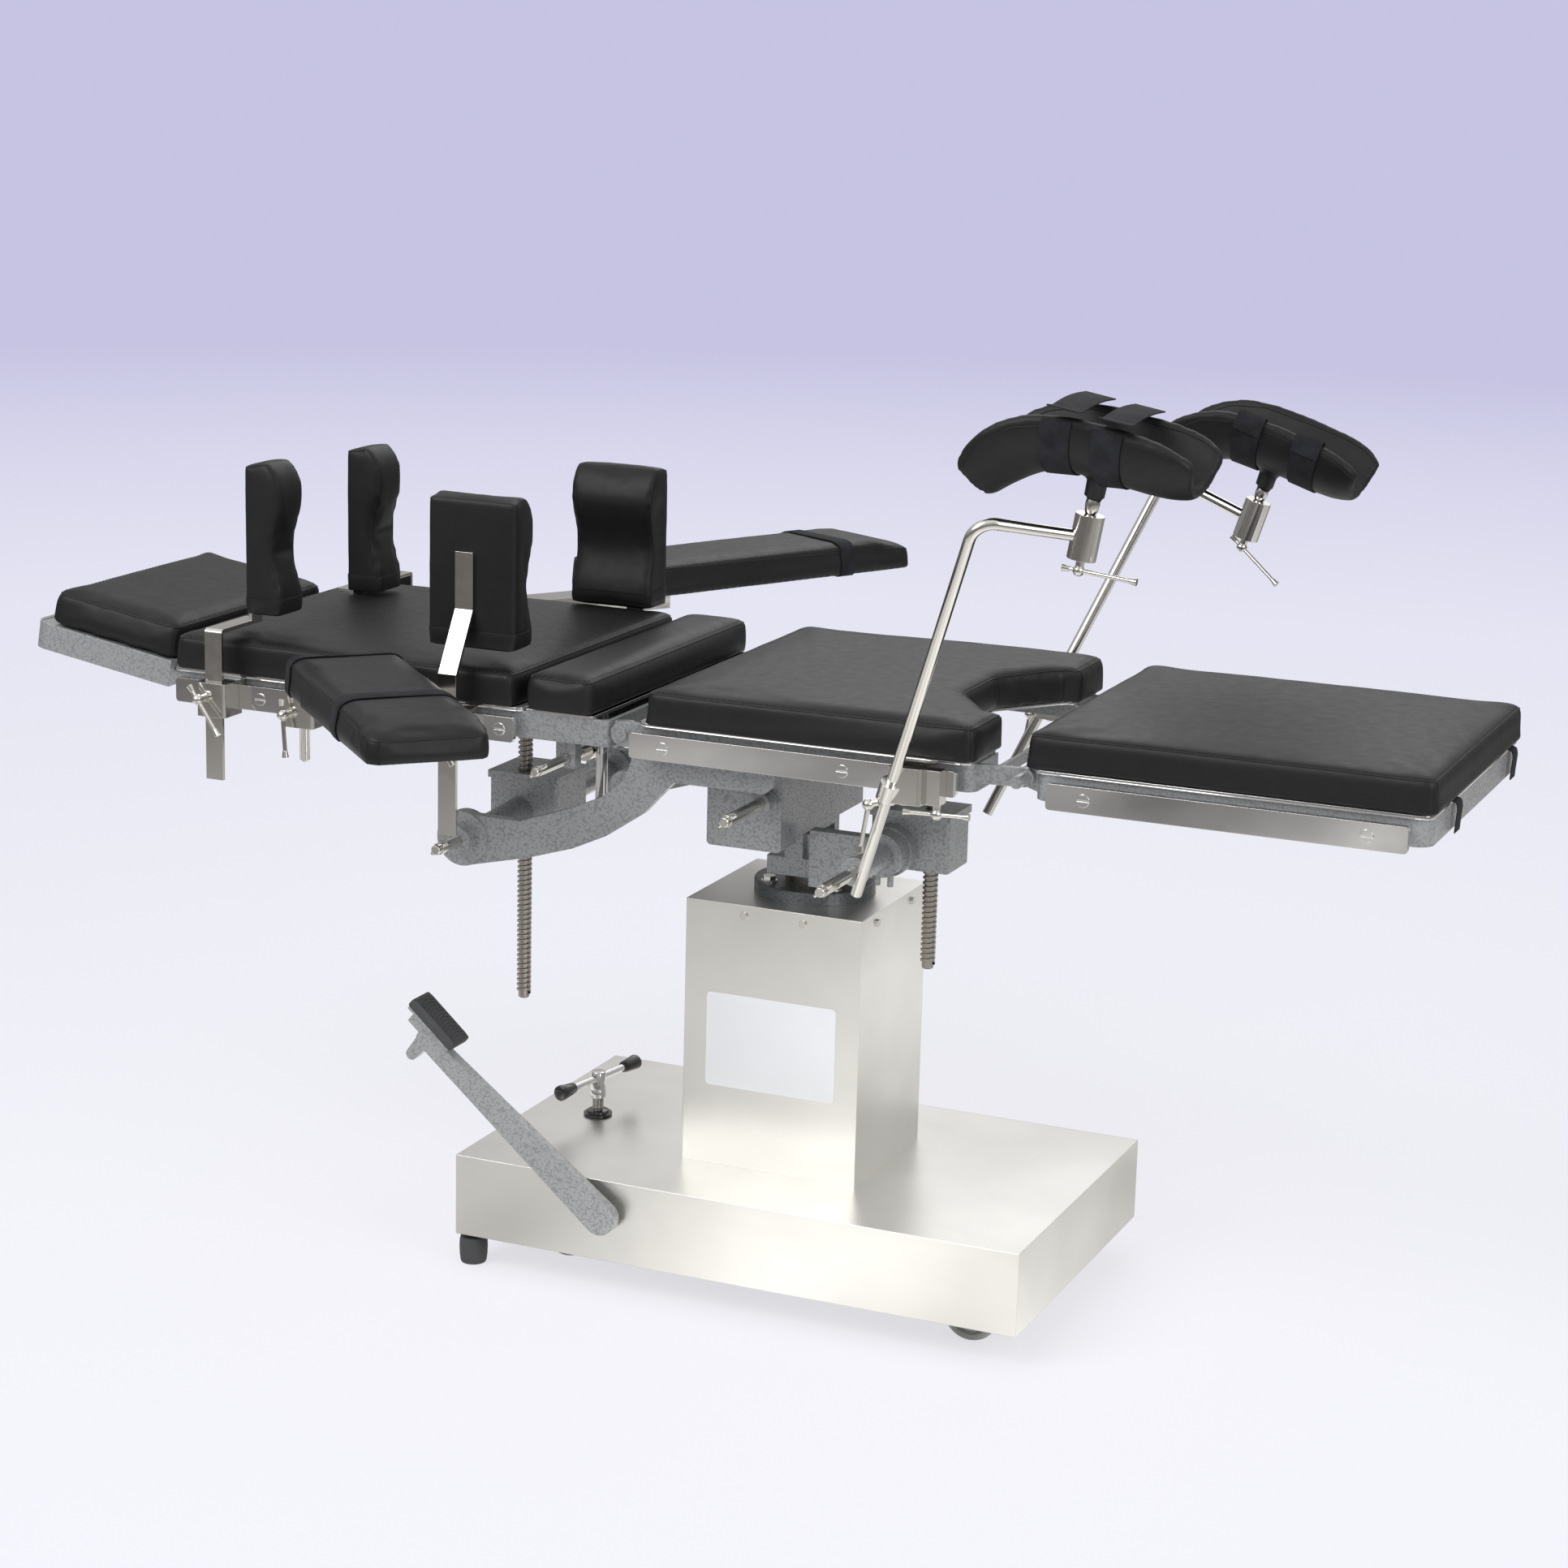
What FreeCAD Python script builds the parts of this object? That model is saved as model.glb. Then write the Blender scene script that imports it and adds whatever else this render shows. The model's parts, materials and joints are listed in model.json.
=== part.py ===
import FreeCAD, Part
import math
import os

# Operating table, millimetres, +Z up.
# The origin is on the floor under the centre of the column cover.
# -X is the patient's head end, +X the foot end, -Y the operator's side.

V = FreeCAD.Vector
X_DIR = V(1, 0, 0)
Y_DIR = V(0, 1, 0)
Z_DIR = V(0, 0, 1)

# Clearances
RUNNING = 0.05          # radial, a shaft that turns or slides in its bore
SLIDING = 0.3           # a flat bar in its slot
SOFT_GAP = 0.3          # a cushion above what carries it

# Base
BASE_X0, BASE_X1 = -401.0, 403.0
BASE_HALF_W = 243.0
BASE_BOTTOM, BASE_TOP = 45.0, 157.0
SHEET = 2.0
BEAM_Y, BEAM_HALF_W = BASE_HALF_W - 78.0, 20.0
BEAM_BOTTOM = 88.0
WHEEL_R, WHEEL_W = 37.5, 28.0
AXLE_R = 5.0
FORK_T = 3.0
FOOT_WHEEL_X = 317.0
HEAD_WHEEL_X = -282.0
CASTOR_TRAIL = 25.0
HEAD_WHEEL_Y = BEAM_Y - 29.0
FOOT_X, FOOT_Y = BASE_X0 + 15.0, BASE_HALF_W - 23.0
FOOT_R, FOOT_H = 19.0, 42.0
FOOT_NECK_R, FOOT_SHOULDER = 12.0, 38.0
FOOT_BAR_Z0, FOOT_BAR_Z1 = 60.0, 72.0
BRAKE_X, BRAKE_Y = -306.0, -6.0
BRAKE_BAR_Z = 211.0
BRAKE_BAR_HALF = 72.0
BRAKE_BAR_TURN = 10.0   # degrees from the Y axis
BRAKE_STEM_R = 7.0

# Pedal
PEDAL_X, PEDAL_Z = -174.0, 113.0
PEDAL_LENGTH = 335.0
PEDAL_RISE = 38.6       # degrees above the horizontal
PAD_RISE = 41.6
PEDAL_Y0, PEDAL_Y1 = -BASE_HALF_W - 27.0, -BASE_HALF_W - 11.0
PEDAL_ROOT_R, PEDAL_TIP_R = 22.5, 11.5
PEDAL_SHAFT_R = 10.0
PAD_LONG, PAD_WIDE, PAD_THICK = 84.0, 45.0, 14.0
PAD_X, PAD_Z = -421.5, 343.3

# Column and hydraulic ram
COVER_HALF_X, COVER_HALF_Y = 125.5, 115.0
COVER_TOP = 521.5
RAM_X = 10.0
RAM_R = 40.0
CYLINDER_R = 55.0
FLANGE_R, FLANGE_T = 81.5, 18.0
RAM_BOTTOM = 230.0

# Saddle on the ram, with the pivot for the long tilt
HEAD_Z0, HEAD_Z1 = 555.0, 580.0
PIVOT_X, PIVOT_Z = 4.0, 628.0
PIVOT_R = 12.0
LUG_R = 13.0
LUG_Y0, LUG_Y1 = 46.0, 62.0
ARM_Y0, ARM_Y1 = -100.0, -80.0
ARM_X0 = 42.0
ARM_Z0, ARM_Z1 = 578.0, 631.0
TRUNNION_X, TRUNNION_Z = 144.0, 610.0
TRUNNION_R = 16.0

# Foot gearbox and its screw
FGB_X0, FGB_X1 = 112.0, 220.0
FGB_Y0, FGB_Y1 = -60.0, 16.0
FGB_Z0, FGB_Z1 = 584.0, 652.0
LID_T = 10.0
FOOT_SCREW_X, SCREW_Y = 186.0, -30.0
SCREW_R = 10.0
FOOT_SCREW_Z0 = 446.0
FOOT_SCREW_PIN_Z = 730.0
CRANK_R = 8.0
CROSS_PIN_R, CROSS_PIN_HALF = 2.5, 15.0
SPIGOT_SHARE, SPIGOT_L = 0.8, 8.0

# Cradle between long tilt and side tilt
ROLL_Z = 690.0
ROLL_R = 12.0
CRADLE_ARM_Z0, CRADLE_ARM_Z1 = 704.0, 724.0

# Table top
# Across the table every frame, rail, clamp, hinge and cushion follows FRAME_HALF_W.
PAD_TOP, PAD_BOTTOM = 830.0, 782.0
BOARD_T = 4.0
FRAME_TOP = PAD_BOTTOM - BOARD_T
FRAME_BOTTOM = 743.0
FRAME_WALL = 6.0
FRAME_HALF_W = 240.0
RAIL_GAP, RAIL_T = 12.0, 8.0
RAIL_FACE = FRAME_HALF_W + RAIL_GAP + RAIL_T
RAIL_Z0, RAIL_Z1 = 739.0, 772.0
SPACER_R, SCREW_HEAD_R = 7.0, 8.0
RAIL_SCREW_INSET = 47.0
PAD_ROUND = 12.0

SEAT_X0, SEAT_X1 = -144.0, 318.0
SEAT_PAD_X0, SEAT_PAD_X1 = SEAT_X0 + 15.0, SEAT_X1 + 3.0
SEAT_PAD_HALF = FRAME_HALF_W + 18.0
CUTOUT_MOUTH, CUTOUT_INNER, CUTOUT_DEPTH = 149.0, 60.0, 83.0
BACK_X0, BACK_X1 = -838.0, -182.0
BACK_PAD_X0, BACK_PAD_X1 = BACK_X0 + 1.0, -313.0
BACK_PAD_HALF = FRAME_HALF_W + 10.0
KIDNEY_X0, KIDNEY_X1 = -302.0, -203.0
LEG_X0, LEG_X1 = 392.0, 884.0
LEG_FRAME_HALF = FRAME_HALF_W - 4.0
LEG_PAD_X0, LEG_PAD_X1 = LEG_X0 - 13.0, LEG_X1 + 8.0
LEG_PAD_HALF = LEG_FRAME_HALF + 8.0
HEAD_LENGTH = 208.0
HEAD_FRAME_HALF = 200.0
HEAD_PAD_HALF = HEAD_FRAME_HALF - 5.0
HEAD_TILT = 9.0

BACK_HINGE_X, BACK_HINGE_Z = -164.5, 763.0
LEG_HINGE_X, LEG_HINGE_Z = 380.0, 769.0
HEAD_HINGE_X, HEAD_HINGE_Z = -866.0, 768.0
PIN_R = 8.0
HINGE_BAR_Y = FRAME_HALF_W - 14.0   # the seat's hinge bars stand outside this, the moving lugs inside
HINGE_LUG_Y = HINGE_BAR_Y - 13.0
HEAD_LUG_Y = HEAD_FRAME_HALF - 48.0

# Tilt box under the seat
BOX_X0, BOX_X1 = -78.0, 27.0
BOX_Y0, BOX_Y1 = -160.0, -108.0
BOX_Z0 = 611.0
SIDE_PLATE_T = 3.0
SIDE_PLATE_Y1 = 120.0
ROLL_CRANK_X, ROLL_CRANK_Z = 4.0, 678.0

# Actuator arms that carry the back gearbox
ACT_Y0, ACT_Y1 = FRAME_HALF_W - 29.0, FRAME_HALF_W - 15.0
BACK_SHAFT_X, BACK_SHAFT_Z = -402.0, 593.0
ACT_EYE_R = 37.0
CROSS_TUBE_X, CROSS_TUBE_Z, CROSS_TUBE_R = -176.0, 690.0, 17.0

# Back gearbox and its screw
BGB_X0, BGB_X1 = -447.0, -345.0
BGB_Y0, BGB_Y1 = -66.0, 26.0
BGB_Z0, BGB_Z1 = 572.0, 638.0
BACK_SCREW_Y = -48.0
BACK_SCREW_Z0 = 326.0
BACK_SCREW_PIN_Z = 724.0

# Kidney bridge
RACK_X, RACK_Y, RACK_R = -236.0, 150.0, 8.0
RACK_Z0 = 640.0
KIDNEY_SHAFT_X, KIDNEY_SHAFT_Z, KIDNEY_SHAFT_R = -258.0, 714.0, 7.0
PINION_R = 13.5

# Free ends of the four crank shafts, outside the rails
FOOT_CRANK_Y = -RAIL_FACE - 48.0
BACK_CRANK_Y = -RAIL_FACE - 40.0
TILT_CRANK_Y = -RAIL_FACE - 30.0

# Rail clamps and what they hold
CLAMP_HALF_X = 22.0
CLAMP_Y_OUT = RAIL_FACE + 36.0
CLAMP_Z0, CLAMP_Z1 = 732.0, 778.0
STRAP_W, STRAP_T = 26.0, 5.0
STRAP_Y = RAIL_FACE + 25.0
SHOULDER_PAD_W, SHOULDER_PAD_H = 62.0, 207.0
SIDE_PAD_W, SIDE_PAD_H = 127.0, 200.0
ARM_BOARD_W, ARM_BOARD_T = 155.0, 46.0
ARM_PIN_R = 7.0
ROD_R = 7.2
ROD_SLOPE_X, ROD_SLOPE_Y = 0.395, 0.336
ROD_CLAMP_X, ROD_CLAMP_Y, ROD_CLAMP_Z = 225.0, RAIL_FACE + 28.0, 746.0
SOCKET_R, SOCKET_H = 17.5, 54.0


# Basic shapes

def block(x0, x1, y0, y1, z0, z1):
    return Part.makeBox(x1 - x0, y1 - y0, z1 - z0, V(x0, y0, z0))


def bar(start, end, radius, end_radius=None):
    axis = end - start
    if end_radius is None:
        return Part.makeCylinder(radius, axis.Length, start, axis)
    return Part.makeCone(radius, end_radius, axis.Length, start, axis)


def y_bar(x, z, radius, y0, y1):
    return bar(V(x, y0, z), V(x, y1, z), radius)


def z_bar(x, y, radius, z0, z1):
    return bar(V(x, y, z0), V(x, y, z1), radius)


def x_bar(y, z, radius, x0, x1):
    return bar(V(x0, y, z), V(x1, y, z), radius)


def fused(*shapes):
    whole = shapes[0]
    if len(shapes) > 1:
        whole = whole.multiFuse(list(shapes[1:]))
    return whole.removeSplitter()


def group(*shapes):
    return Part.makeCompound(list(shapes))


def far_side(shape):
    return shape.mirror(V(0, 0, 0), Y_DIR)


def both_sides(shape):
    return [shape, far_side(shape)]


def prism_xz(points, y0, y1):
    corners = [V(x, y0, z) for x, z in points]
    face = Part.Face(Part.makePolygon(corners + corners[:1]))
    return face.extrude(V(0, y1 - y0, 0))


def prism_xy(points, z0, z1):
    corners = [V(x, y, z0) for x, y in points]
    face = Part.Face(Part.makePolygon(corners + corners[:1]))
    return face.extrude(V(0, 0, z1 - z0))


def along(edge, direction):
    if not isinstance(edge.Curve, Part.Line):
        return False
    return edge.tangentAt(edge.FirstParameter).cross(direction).Length < 1e-6


def round_edges(shape, radius, direction, wanted=None):
    edges = [e for e in shape.Edges if along(e, direction)]
    if wanted:
        edges = [e for e in edges if wanted(e.CenterOfMass)]
    return shape.makeFillet(radius, edges)


def turned(shape, degrees, centre, axis):
    copy = shape.copy()
    copy.rotate(centre, axis, degrees)
    return copy


def shell_box(x0, x1, half_y, z0, z1, sheet):
    outer = block(x0, x1, -half_y, half_y, z0, z1)
    inner = block(x0 + sheet, x1 - sheet, sheet - half_y, half_y - sheet, z0 - 1, z1 - sheet)
    return outer.cut(inner)


def link(x0, z0, r0, x1, z1, r1, y0, y1):
    # A flat link with a round end at each of two centres.
    dx, dz = x1 - x0, z1 - z0
    length = math.hypot(dx, dz)
    ux, uz = dx / length, dz / length
    lean = (r0 - r1) / length
    side = math.sqrt(1 - lean * lean)
    points = []
    for sign, order in ((1, ((x0, z0, r0), (x1, z1, r1))), (-1, ((x1, z1, r1), (x0, z0, r0)))):
        nx = ux * lean - uz * side * sign
        nz = uz * lean + ux * side * sign
        for cx, cz, r in order:
            points.append((cx + nx * r, cz + nz * r))
    web = prism_xz(points, y0, y1)
    return fused(web, y_bar(x0, z0, r0, y0, y1), y_bar(x1, z1, r1, y0, y1))


def cross_pin_shaft(x, z, y_tip, y_end, radius):
    # A crank shaft with a turned spigot, and the cross pin that the loose crank handle grips.
    spigot_r = radius * SPIGOT_SHARE
    spigot = y_bar(x, z, spigot_r, y_tip, y_tip + SPIGOT_L)
    spigot = spigot.makeChamfer(1.0, [e for e in spigot.Edges if abs(e.CenterOfMass.y - y_tip) < 0.1])
    relief = y_bar(x, z, spigot_r - 0.6, y_tip + SPIGOT_L, y_tip + SPIGOT_L + 1)
    shaft = y_bar(x, z, radius, y_tip + SPIGOT_L + 1, y_end)
    pin_y = y_tip + SPIGOT_L + 5
    pin = bar(V(x - CROSS_PIN_HALF * 0.8, pin_y, z - CROSS_PIN_HALF * 0.6),
              V(x + CROSS_PIN_HALF * 0.8, pin_y, z + CROSS_PIN_HALF * 0.6), CROSS_PIN_R)
    return fused(shaft, relief, spigot, pin)


def t_screw(hub, into, handle, hub_r=6.5, length=78.0, offset=0.72):
    # A clamp screw: a stem from its hub into the clamp, and a sliding bar with end knobs.
    stem = bar(hub - into * 5, hub + into * 14, 5.0)
    ball = Part.makeSphere(hub_r + 1, hub, into)
    low = hub + handle * (length * offset)
    high = hub - handle * (length * (1 - offset))
    knob = bar(low - handle * 9, low, 3.2, 4.6)
    top = bar(high, high + handle * 9, 4.6, 3.2)
    return fused(stem, ball, bar(high, low, 2.8), knob, top)


# Base

def beam_bore(x, z, radius):
    return y_bar(x, z, radius, -BASE_HALF_W - 5, 0)


def make_base_cover():
    cover = shell_box(BASE_X0, BASE_X1, BASE_HALF_W, BASE_BOTTOM, BASE_TOP, SHEET)
    column_hole = z_bar(RAM_X, 0, CYLINDER_R + 2, BASE_TOP - 10, BASE_TOP + 10)
    stem_hole = z_bar(BRAKE_X, BRAKE_Y, BRAKE_STEM_R + 0.5, BASE_TOP - 10, BASE_TOP + 10)
    shaft_hole = y_bar(PEDAL_X, PEDAL_Z, PEDAL_SHAFT_R + 1, -BASE_HALF_W - 5, -BASE_HALF_W + 10)
    return cover.cut(fused(column_hole)).cut(stem_hole).cut(shaft_hole)


def fixed_fork(x, y):
    plate = block(x - 26, x + 26, y - 22, y + 22, BEAM_BOTTOM - 8, BEAM_BOTTOM)
    parts = [plate]
    for side in (-1, 1):
        inner = y + side * (WHEEL_W / 2 + 2)
        outer = inner + side * FORK_T
        leg = prism_xz([(x - 22, BEAM_BOTTOM - 8), (x + 22, BEAM_BOTTOM - 8), (x + 10, WHEEL_R - 11),
                        (x - 10, WHEEL_R - 11)], min(inner, outer), max(inner, outer))
        parts.append(leg)
    axle = y_bar(x, WHEEL_R, AXLE_R, y - WHEEL_W / 2 - 8, y + WHEEL_W / 2 + 8)
    return fused(*parts, axle)


def make_base_frame():
    top = BASE_TOP - SHEET
    parts = []
    for side in (-1, 1):
        y = side * BEAM_Y
        parts.append(block(BASE_X0 + 30, BASE_X1 - 15, y - BEAM_HALF_W, y + BEAM_HALF_W, BEAM_BOTTOM, top))
        parts.append(fixed_fork(FOOT_WHEEL_X, y))
    inner = BEAM_Y - BEAM_HALF_W
    for x in (-330.0, 290.0):
        parts.append(block(x - 15, x + 15, -inner, inner, BEAM_BOTTOM, top - 25))
    stem_x = HEAD_WHEEL_X + CASTOR_TRAIL
    parts.append(block(stem_x - 19, stem_x + 19, -inner, inner, BEAM_BOTTOM, BEAM_BOTTOM + 42))
    parts.append(block(RAM_X - 85, RAM_X + 85, -inner, inner, BEAM_BOTTOM, BEAM_BOTTOM + 12))
    parts.append(block(-245, -120, -inner, inner, BEAM_BOTTOM, BEAM_BOTTOM + 6))
    stem_guide = z_bar(BRAKE_X, BRAKE_Y, BRAKE_STEM_R + 8, BEAM_BOTTOM, top)
    frame = fused(*parts, stem_guide)
    frame = frame.cut(z_bar(BRAKE_X, BRAKE_Y, BRAKE_STEM_R + RUNNING, BEAM_BOTTOM - 20, top + 20))
    frame = frame.cut(beam_bore(PEDAL_X, PEDAL_Z, PEDAL_SHAFT_R + RUNNING))
    stem_x = HEAD_WHEEL_X + CASTOR_TRAIL
    for side in (-1, 1):
        frame = frame.cut(z_bar(stem_x, side * HEAD_WHEEL_Y, 8 + RUNNING, BEAM_BOTTOM - 1, BEAM_BOTTOM + 41))
    return frame


def make_wheel(x, y):
    wheel = y_bar(x, WHEEL_R, WHEEL_R, y - WHEEL_W / 2, y + WHEEL_W / 2)
    wheel = wheel.makeFillet(4, [e for e in wheel.Edges if isinstance(e.Curve, Part.Circle)])
    return wheel.cut(y_bar(x, WHEEL_R, AXLE_R + RUNNING, y - WHEEL_W, y + WHEEL_W))


def make_swivel_fork(y):
    x = HEAD_WHEEL_X
    stem_x = x + CASTOR_TRAIL
    plate = block(x - 4, stem_x + 18, y - 20, y + 20, BEAM_BOTTOM - 9, BEAM_BOTTOM - 4)
    race = z_bar(stem_x, y, 18, BEAM_BOTTOM - 4, BEAM_BOTTOM - SLIDING)
    stem = z_bar(stem_x, y, 8, BEAM_BOTTOM - 4, BEAM_BOTTOM + 38)
    parts = [plate, race, stem]
    for side in (-1, 1):
        inner = y + side * (WHEEL_W / 2 + 2)
        outer = inner + side * FORK_T
        leg = prism_xz([(x - 4, BEAM_BOTTOM - 4), (stem_x + 18, BEAM_BOTTOM - 4), (x + 12, WHEEL_R - 10),
                        (x - 10, WHEEL_R - 10)], min(inner, outer), max(inner, outer))
        parts.append(leg)
    parts.append(y_bar(x, WHEEL_R, AXLE_R, y - WHEEL_W / 2 - 8, y + WHEEL_W / 2 + 8))
    return fused(*parts)


def make_foot_bar():
    beam = block(FOOT_X - 12, FOOT_X + 12, -FOOT_Y - 14, FOOT_Y + 14, FOOT_BAR_Z0, FOOT_BAR_Z1)
    tongue = block(FOOT_X, BRAKE_X + 16, BRAKE_Y - 18, BRAKE_Y + 18, FOOT_BAR_Z0, FOOT_BAR_Z1)
    studs = [z_bar(FOOT_X, side * FOOT_Y, 6, FOOT_H, FOOT_BAR_Z0) for side in (-1, 1)]
    whole = fused(beam, tongue, *studs)
    return whole.cut(z_bar(BRAKE_X, BRAKE_Y, BRAKE_STEM_R + RUNNING, FOOT_BAR_Z0 - 5, FOOT_BAR_Z1 + 5))


def make_rubber_feet():
    feet = []
    for side in (-1, 1):
        centre = V(FOOT_X, side * FOOT_Y, 0)
        foot = Part.makeCone(FOOT_R - 1.5, FOOT_R, FOOT_SHOULDER, centre, Z_DIR)
        foot = foot.makeFillet(2, [e for e in foot.Edges if e.BoundBox.ZMax < 0.1])
        # The neck stays clear of the cover's corner when the feet are raised.
        neck = z_bar(FOOT_X, side * FOOT_Y, FOOT_NECK_R, FOOT_SHOULDER - 3, FOOT_H)
        feet.append(fused(foot, neck))
    return group(*feet)


def brake_bar_direction():
    angle = math.radians(BRAKE_BAR_TURN)
    return V(math.sin(angle), math.cos(angle), 0)


def make_brake_handle():
    centre = V(BRAKE_X, BRAKE_Y, BRAKE_BAR_Z)
    stem = z_bar(BRAKE_X, BRAKE_Y, BRAKE_STEM_R, FOOT_BAR_Z0 - 8, BRAKE_BAR_Z - 25)
    hub = z_bar(BRAKE_X, BRAKE_Y, 10, BRAKE_BAR_Z - 28, BRAKE_BAR_Z + 9)
    reach = brake_bar_direction() * (BRAKE_BAR_HALF - 14)
    return fused(stem, hub, bar(centre - reach, centre + reach, 5))


def make_brake_knobs():
    centre = V(BRAKE_X, BRAKE_Y, BRAKE_BAR_Z)
    out = brake_bar_direction()
    pieces = []
    for side in (-1, 1):
        inner = centre + out * (side * (BRAKE_BAR_HALF - 14))
        outer = centre + out * (side * (BRAKE_BAR_HALF + 18))
        pieces.append(bar(inner, outer, 8, 11))
    collar = z_bar(BRAKE_X, BRAKE_Y, 20, BASE_TOP + SLIDING, BASE_TOP + 8)
    pieces.append(collar.cut(z_bar(BRAKE_X, BRAKE_Y, BRAKE_STEM_R, BASE_TOP - 5, BASE_TOP + 20)))
    return group(*pieces)


def make_pump():
    bed = BEAM_BOTTOM + 6
    body = block(-232, -128, -(BEAM_Y - BEAM_HALF_W - 10), -35, bed, BASE_TOP - SHEET - 8)
    tank = z_bar(-180, 60, 48, bed, BASE_TOP - SHEET - 8)
    pipe = x_bar(-85, bed + 20, 6, -128, RAM_X - CYLINDER_R - 1)
    neck = y_bar(-180, bed + 20, 10, -40, 30)
    whole = fused(body, tank, neck, pipe)
    return whole.cut(y_bar(PEDAL_X, PEDAL_Z, PEDAL_SHAFT_R + RUNNING, -140, -100))


# Pedal

def slope_axes(rise):
    # The direction up the slope toward the head end, and its upward normal.
    angle = math.radians(rise)
    return V(-math.cos(angle), 0, math.sin(angle)), V(math.sin(angle), 0, math.cos(angle))


def slope_box(length, width, height, centre, rise):
    # A box on a slope, its underside centred on the point given.
    out, up = slope_axes(rise)
    box = Part.makeBox(length, width, height, V(-length / 2, -width / 2, 0))
    box.Placement = FreeCAD.Placement(centre, FreeCAD.Rotation(out, out.cross(up) * -1, up, "XYZ"))
    return box


def make_pedal_arm():
    out, up = slope_axes(PEDAL_RISE)
    tip = V(PEDAL_X, 0, PEDAL_Z) + out * PEDAL_LENGTH
    arm = link(PEDAL_X, PEDAL_Z, PEDAL_ROOT_R, tip.x, tip.z, PEDAL_TIP_R, PEDAL_Y0, PEDAL_Y1)
    shaft = y_bar(PEDAL_X, PEDAL_Z, PEDAL_SHAFT_R, PEDAL_Y1, -101)
    middle = (PEDAL_Y0 + PEDAL_Y1) / 2
    pad_out, pad_up = slope_axes(PAD_RISE)
    under = V(PAD_X, middle, PAD_Z)
    tray = slope_box(PAD_LONG - 6, PAD_WIDE - 4, 3.5, under - pad_up * 3.5, PAD_RISE)
    neck = slope_box(PAD_LONG - 24, PEDAL_Y1 - PEDAL_Y0, 22, under - pad_up * 24, PAD_RISE)
    heel_end = tip - up * 30
    heel = link(tip.x - 2, tip.z - 3, 10, heel_end.x, heel_end.z, 8, PEDAL_Y0, PEDAL_Y1)
    return fused(arm, shaft, tray, neck, heel)


def make_pedal_pad():
    pad = Part.makeBox(PAD_LONG, PAD_WIDE, PAD_THICK, V(-PAD_LONG / 2, -PAD_WIDE / 2, 0))
    pad = round_edges(pad, 8, Z_DIR)
    out, up = slope_axes(PAD_RISE)
    middle = (PEDAL_Y0 + PEDAL_Y1) / 2
    pad.Placement = FreeCAD.Placement(V(PAD_X, middle, PAD_Z), FreeCAD.Rotation(out, out.cross(up) * -1, up, "XYZ"))
    return pad


# Column

def make_column_cover():
    cover = shell_box(-COVER_HALF_X, COVER_HALF_X, COVER_HALF_Y, BASE_TOP, COVER_TOP, SHEET)
    return cover.cut(z_bar(RAM_X, 0, CYLINDER_R + 1, COVER_TOP - 10, COVER_TOP + 10))


def make_column_fasteners():
    screws = []
    for x in (-42.0, 42.0):
        for side in (-1, 1):
            face = side * COVER_HALF_Y
            screws.append(y_bar(x, COVER_TOP - 14, 5, min(face, face + side * 3), max(face, face + side * 3)))
    for y in (-62.0, 62.0):
        for side in (-1, 1):
            face = side * COVER_HALF_X
            screws.append(x_bar(y, COVER_TOP - 14, 5, min(face, face + side * 3), max(face, face + side * 3)))
    top = COVER_TOP + FLANGE_T
    for angle in (45, 135, 225, 315):
        a = math.radians(angle)
        x, y = RAM_X + 66 * math.cos(a), 66 * math.sin(a)
        washer = z_bar(x, y, 11, top, top + 2)
        head = prism_xy([(x + 9.2 * math.cos(math.radians(k)), y + 9.2 * math.sin(math.radians(k)))
                         for k in range(0, 360, 60)], top + 2, top + 8)
        screws.append(fused(washer, head))
    return group(*screws)


def make_lift_cylinder():
    tube = z_bar(RAM_X, 0, CYLINDER_R, BEAM_BOTTOM + 12, COVER_TOP)
    flange = z_bar(RAM_X, 0, FLANGE_R, COVER_TOP, COVER_TOP + FLANGE_T)
    flange = flange.makeFillet(2.5, [e for e in flange.Edges if e.BoundBox.ZMin > COVER_TOP + 1
                                     and isinstance(e.Curve, Part.Circle)])
    bore = z_bar(RAM_X, 0, RAM_R + RUNNING, BEAM_BOTTOM + 40, COVER_TOP + FLANGE_T + 5)
    return fused(tube, flange).cut(bore)


def make_ram():
    return z_bar(RAM_X, 0, RAM_R, RAM_BOTTOM, HEAD_Z0)


def make_saddle():
    head = block(-34, 78, -62, 62, HEAD_Z0, HEAD_Z1)
    lugs = []
    for side in (-1, 1):
        y0, y1 = sorted((side * LUG_Y0, side * LUG_Y1))
        lug = fused(block(PIVOT_X - LUG_R, PIVOT_X + LUG_R, y0, y1, HEAD_Z1 - 1, PIVOT_Z),
                    y_bar(PIVOT_X, PIVOT_Z, LUG_R, y0, y1))
        lugs.append(lug)
    pin = y_bar(PIVOT_X, PIVOT_Z, PIVOT_R, -LUG_Y1, LUG_Y1)
    web = block(ARM_X0, 78, ARM_Y0, -60, HEAD_Z0, HEAD_Z1 + 4)
    arm = block(ARM_X0, TRUNNION_X - 12, ARM_Y0, ARM_Y1, ARM_Z0, ARM_Z1)
    eye = y_bar(TRUNNION_X, TRUNNION_Z, 29, ARM_Y0 - 4, ARM_Y1)
    saddle = fused(head, *lugs, pin, web, arm, eye)
    saddle = saddle.cut(y_bar(TRUNNION_X, TRUNNION_Z, TRUNNION_R + RUNNING, ARM_Y0 - 10, ARM_Y1 + 10))
    screws = []
    for dx in (-9, 9):
        z = TRUNNION_Z - 29
        screws.append(z_bar(TRUNNION_X + dx, (ARM_Y0 + ARM_Y1) / 2, 4, z - 14, z + 5))
    return group(saddle.cut(group(*screws)), *screws)


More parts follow.
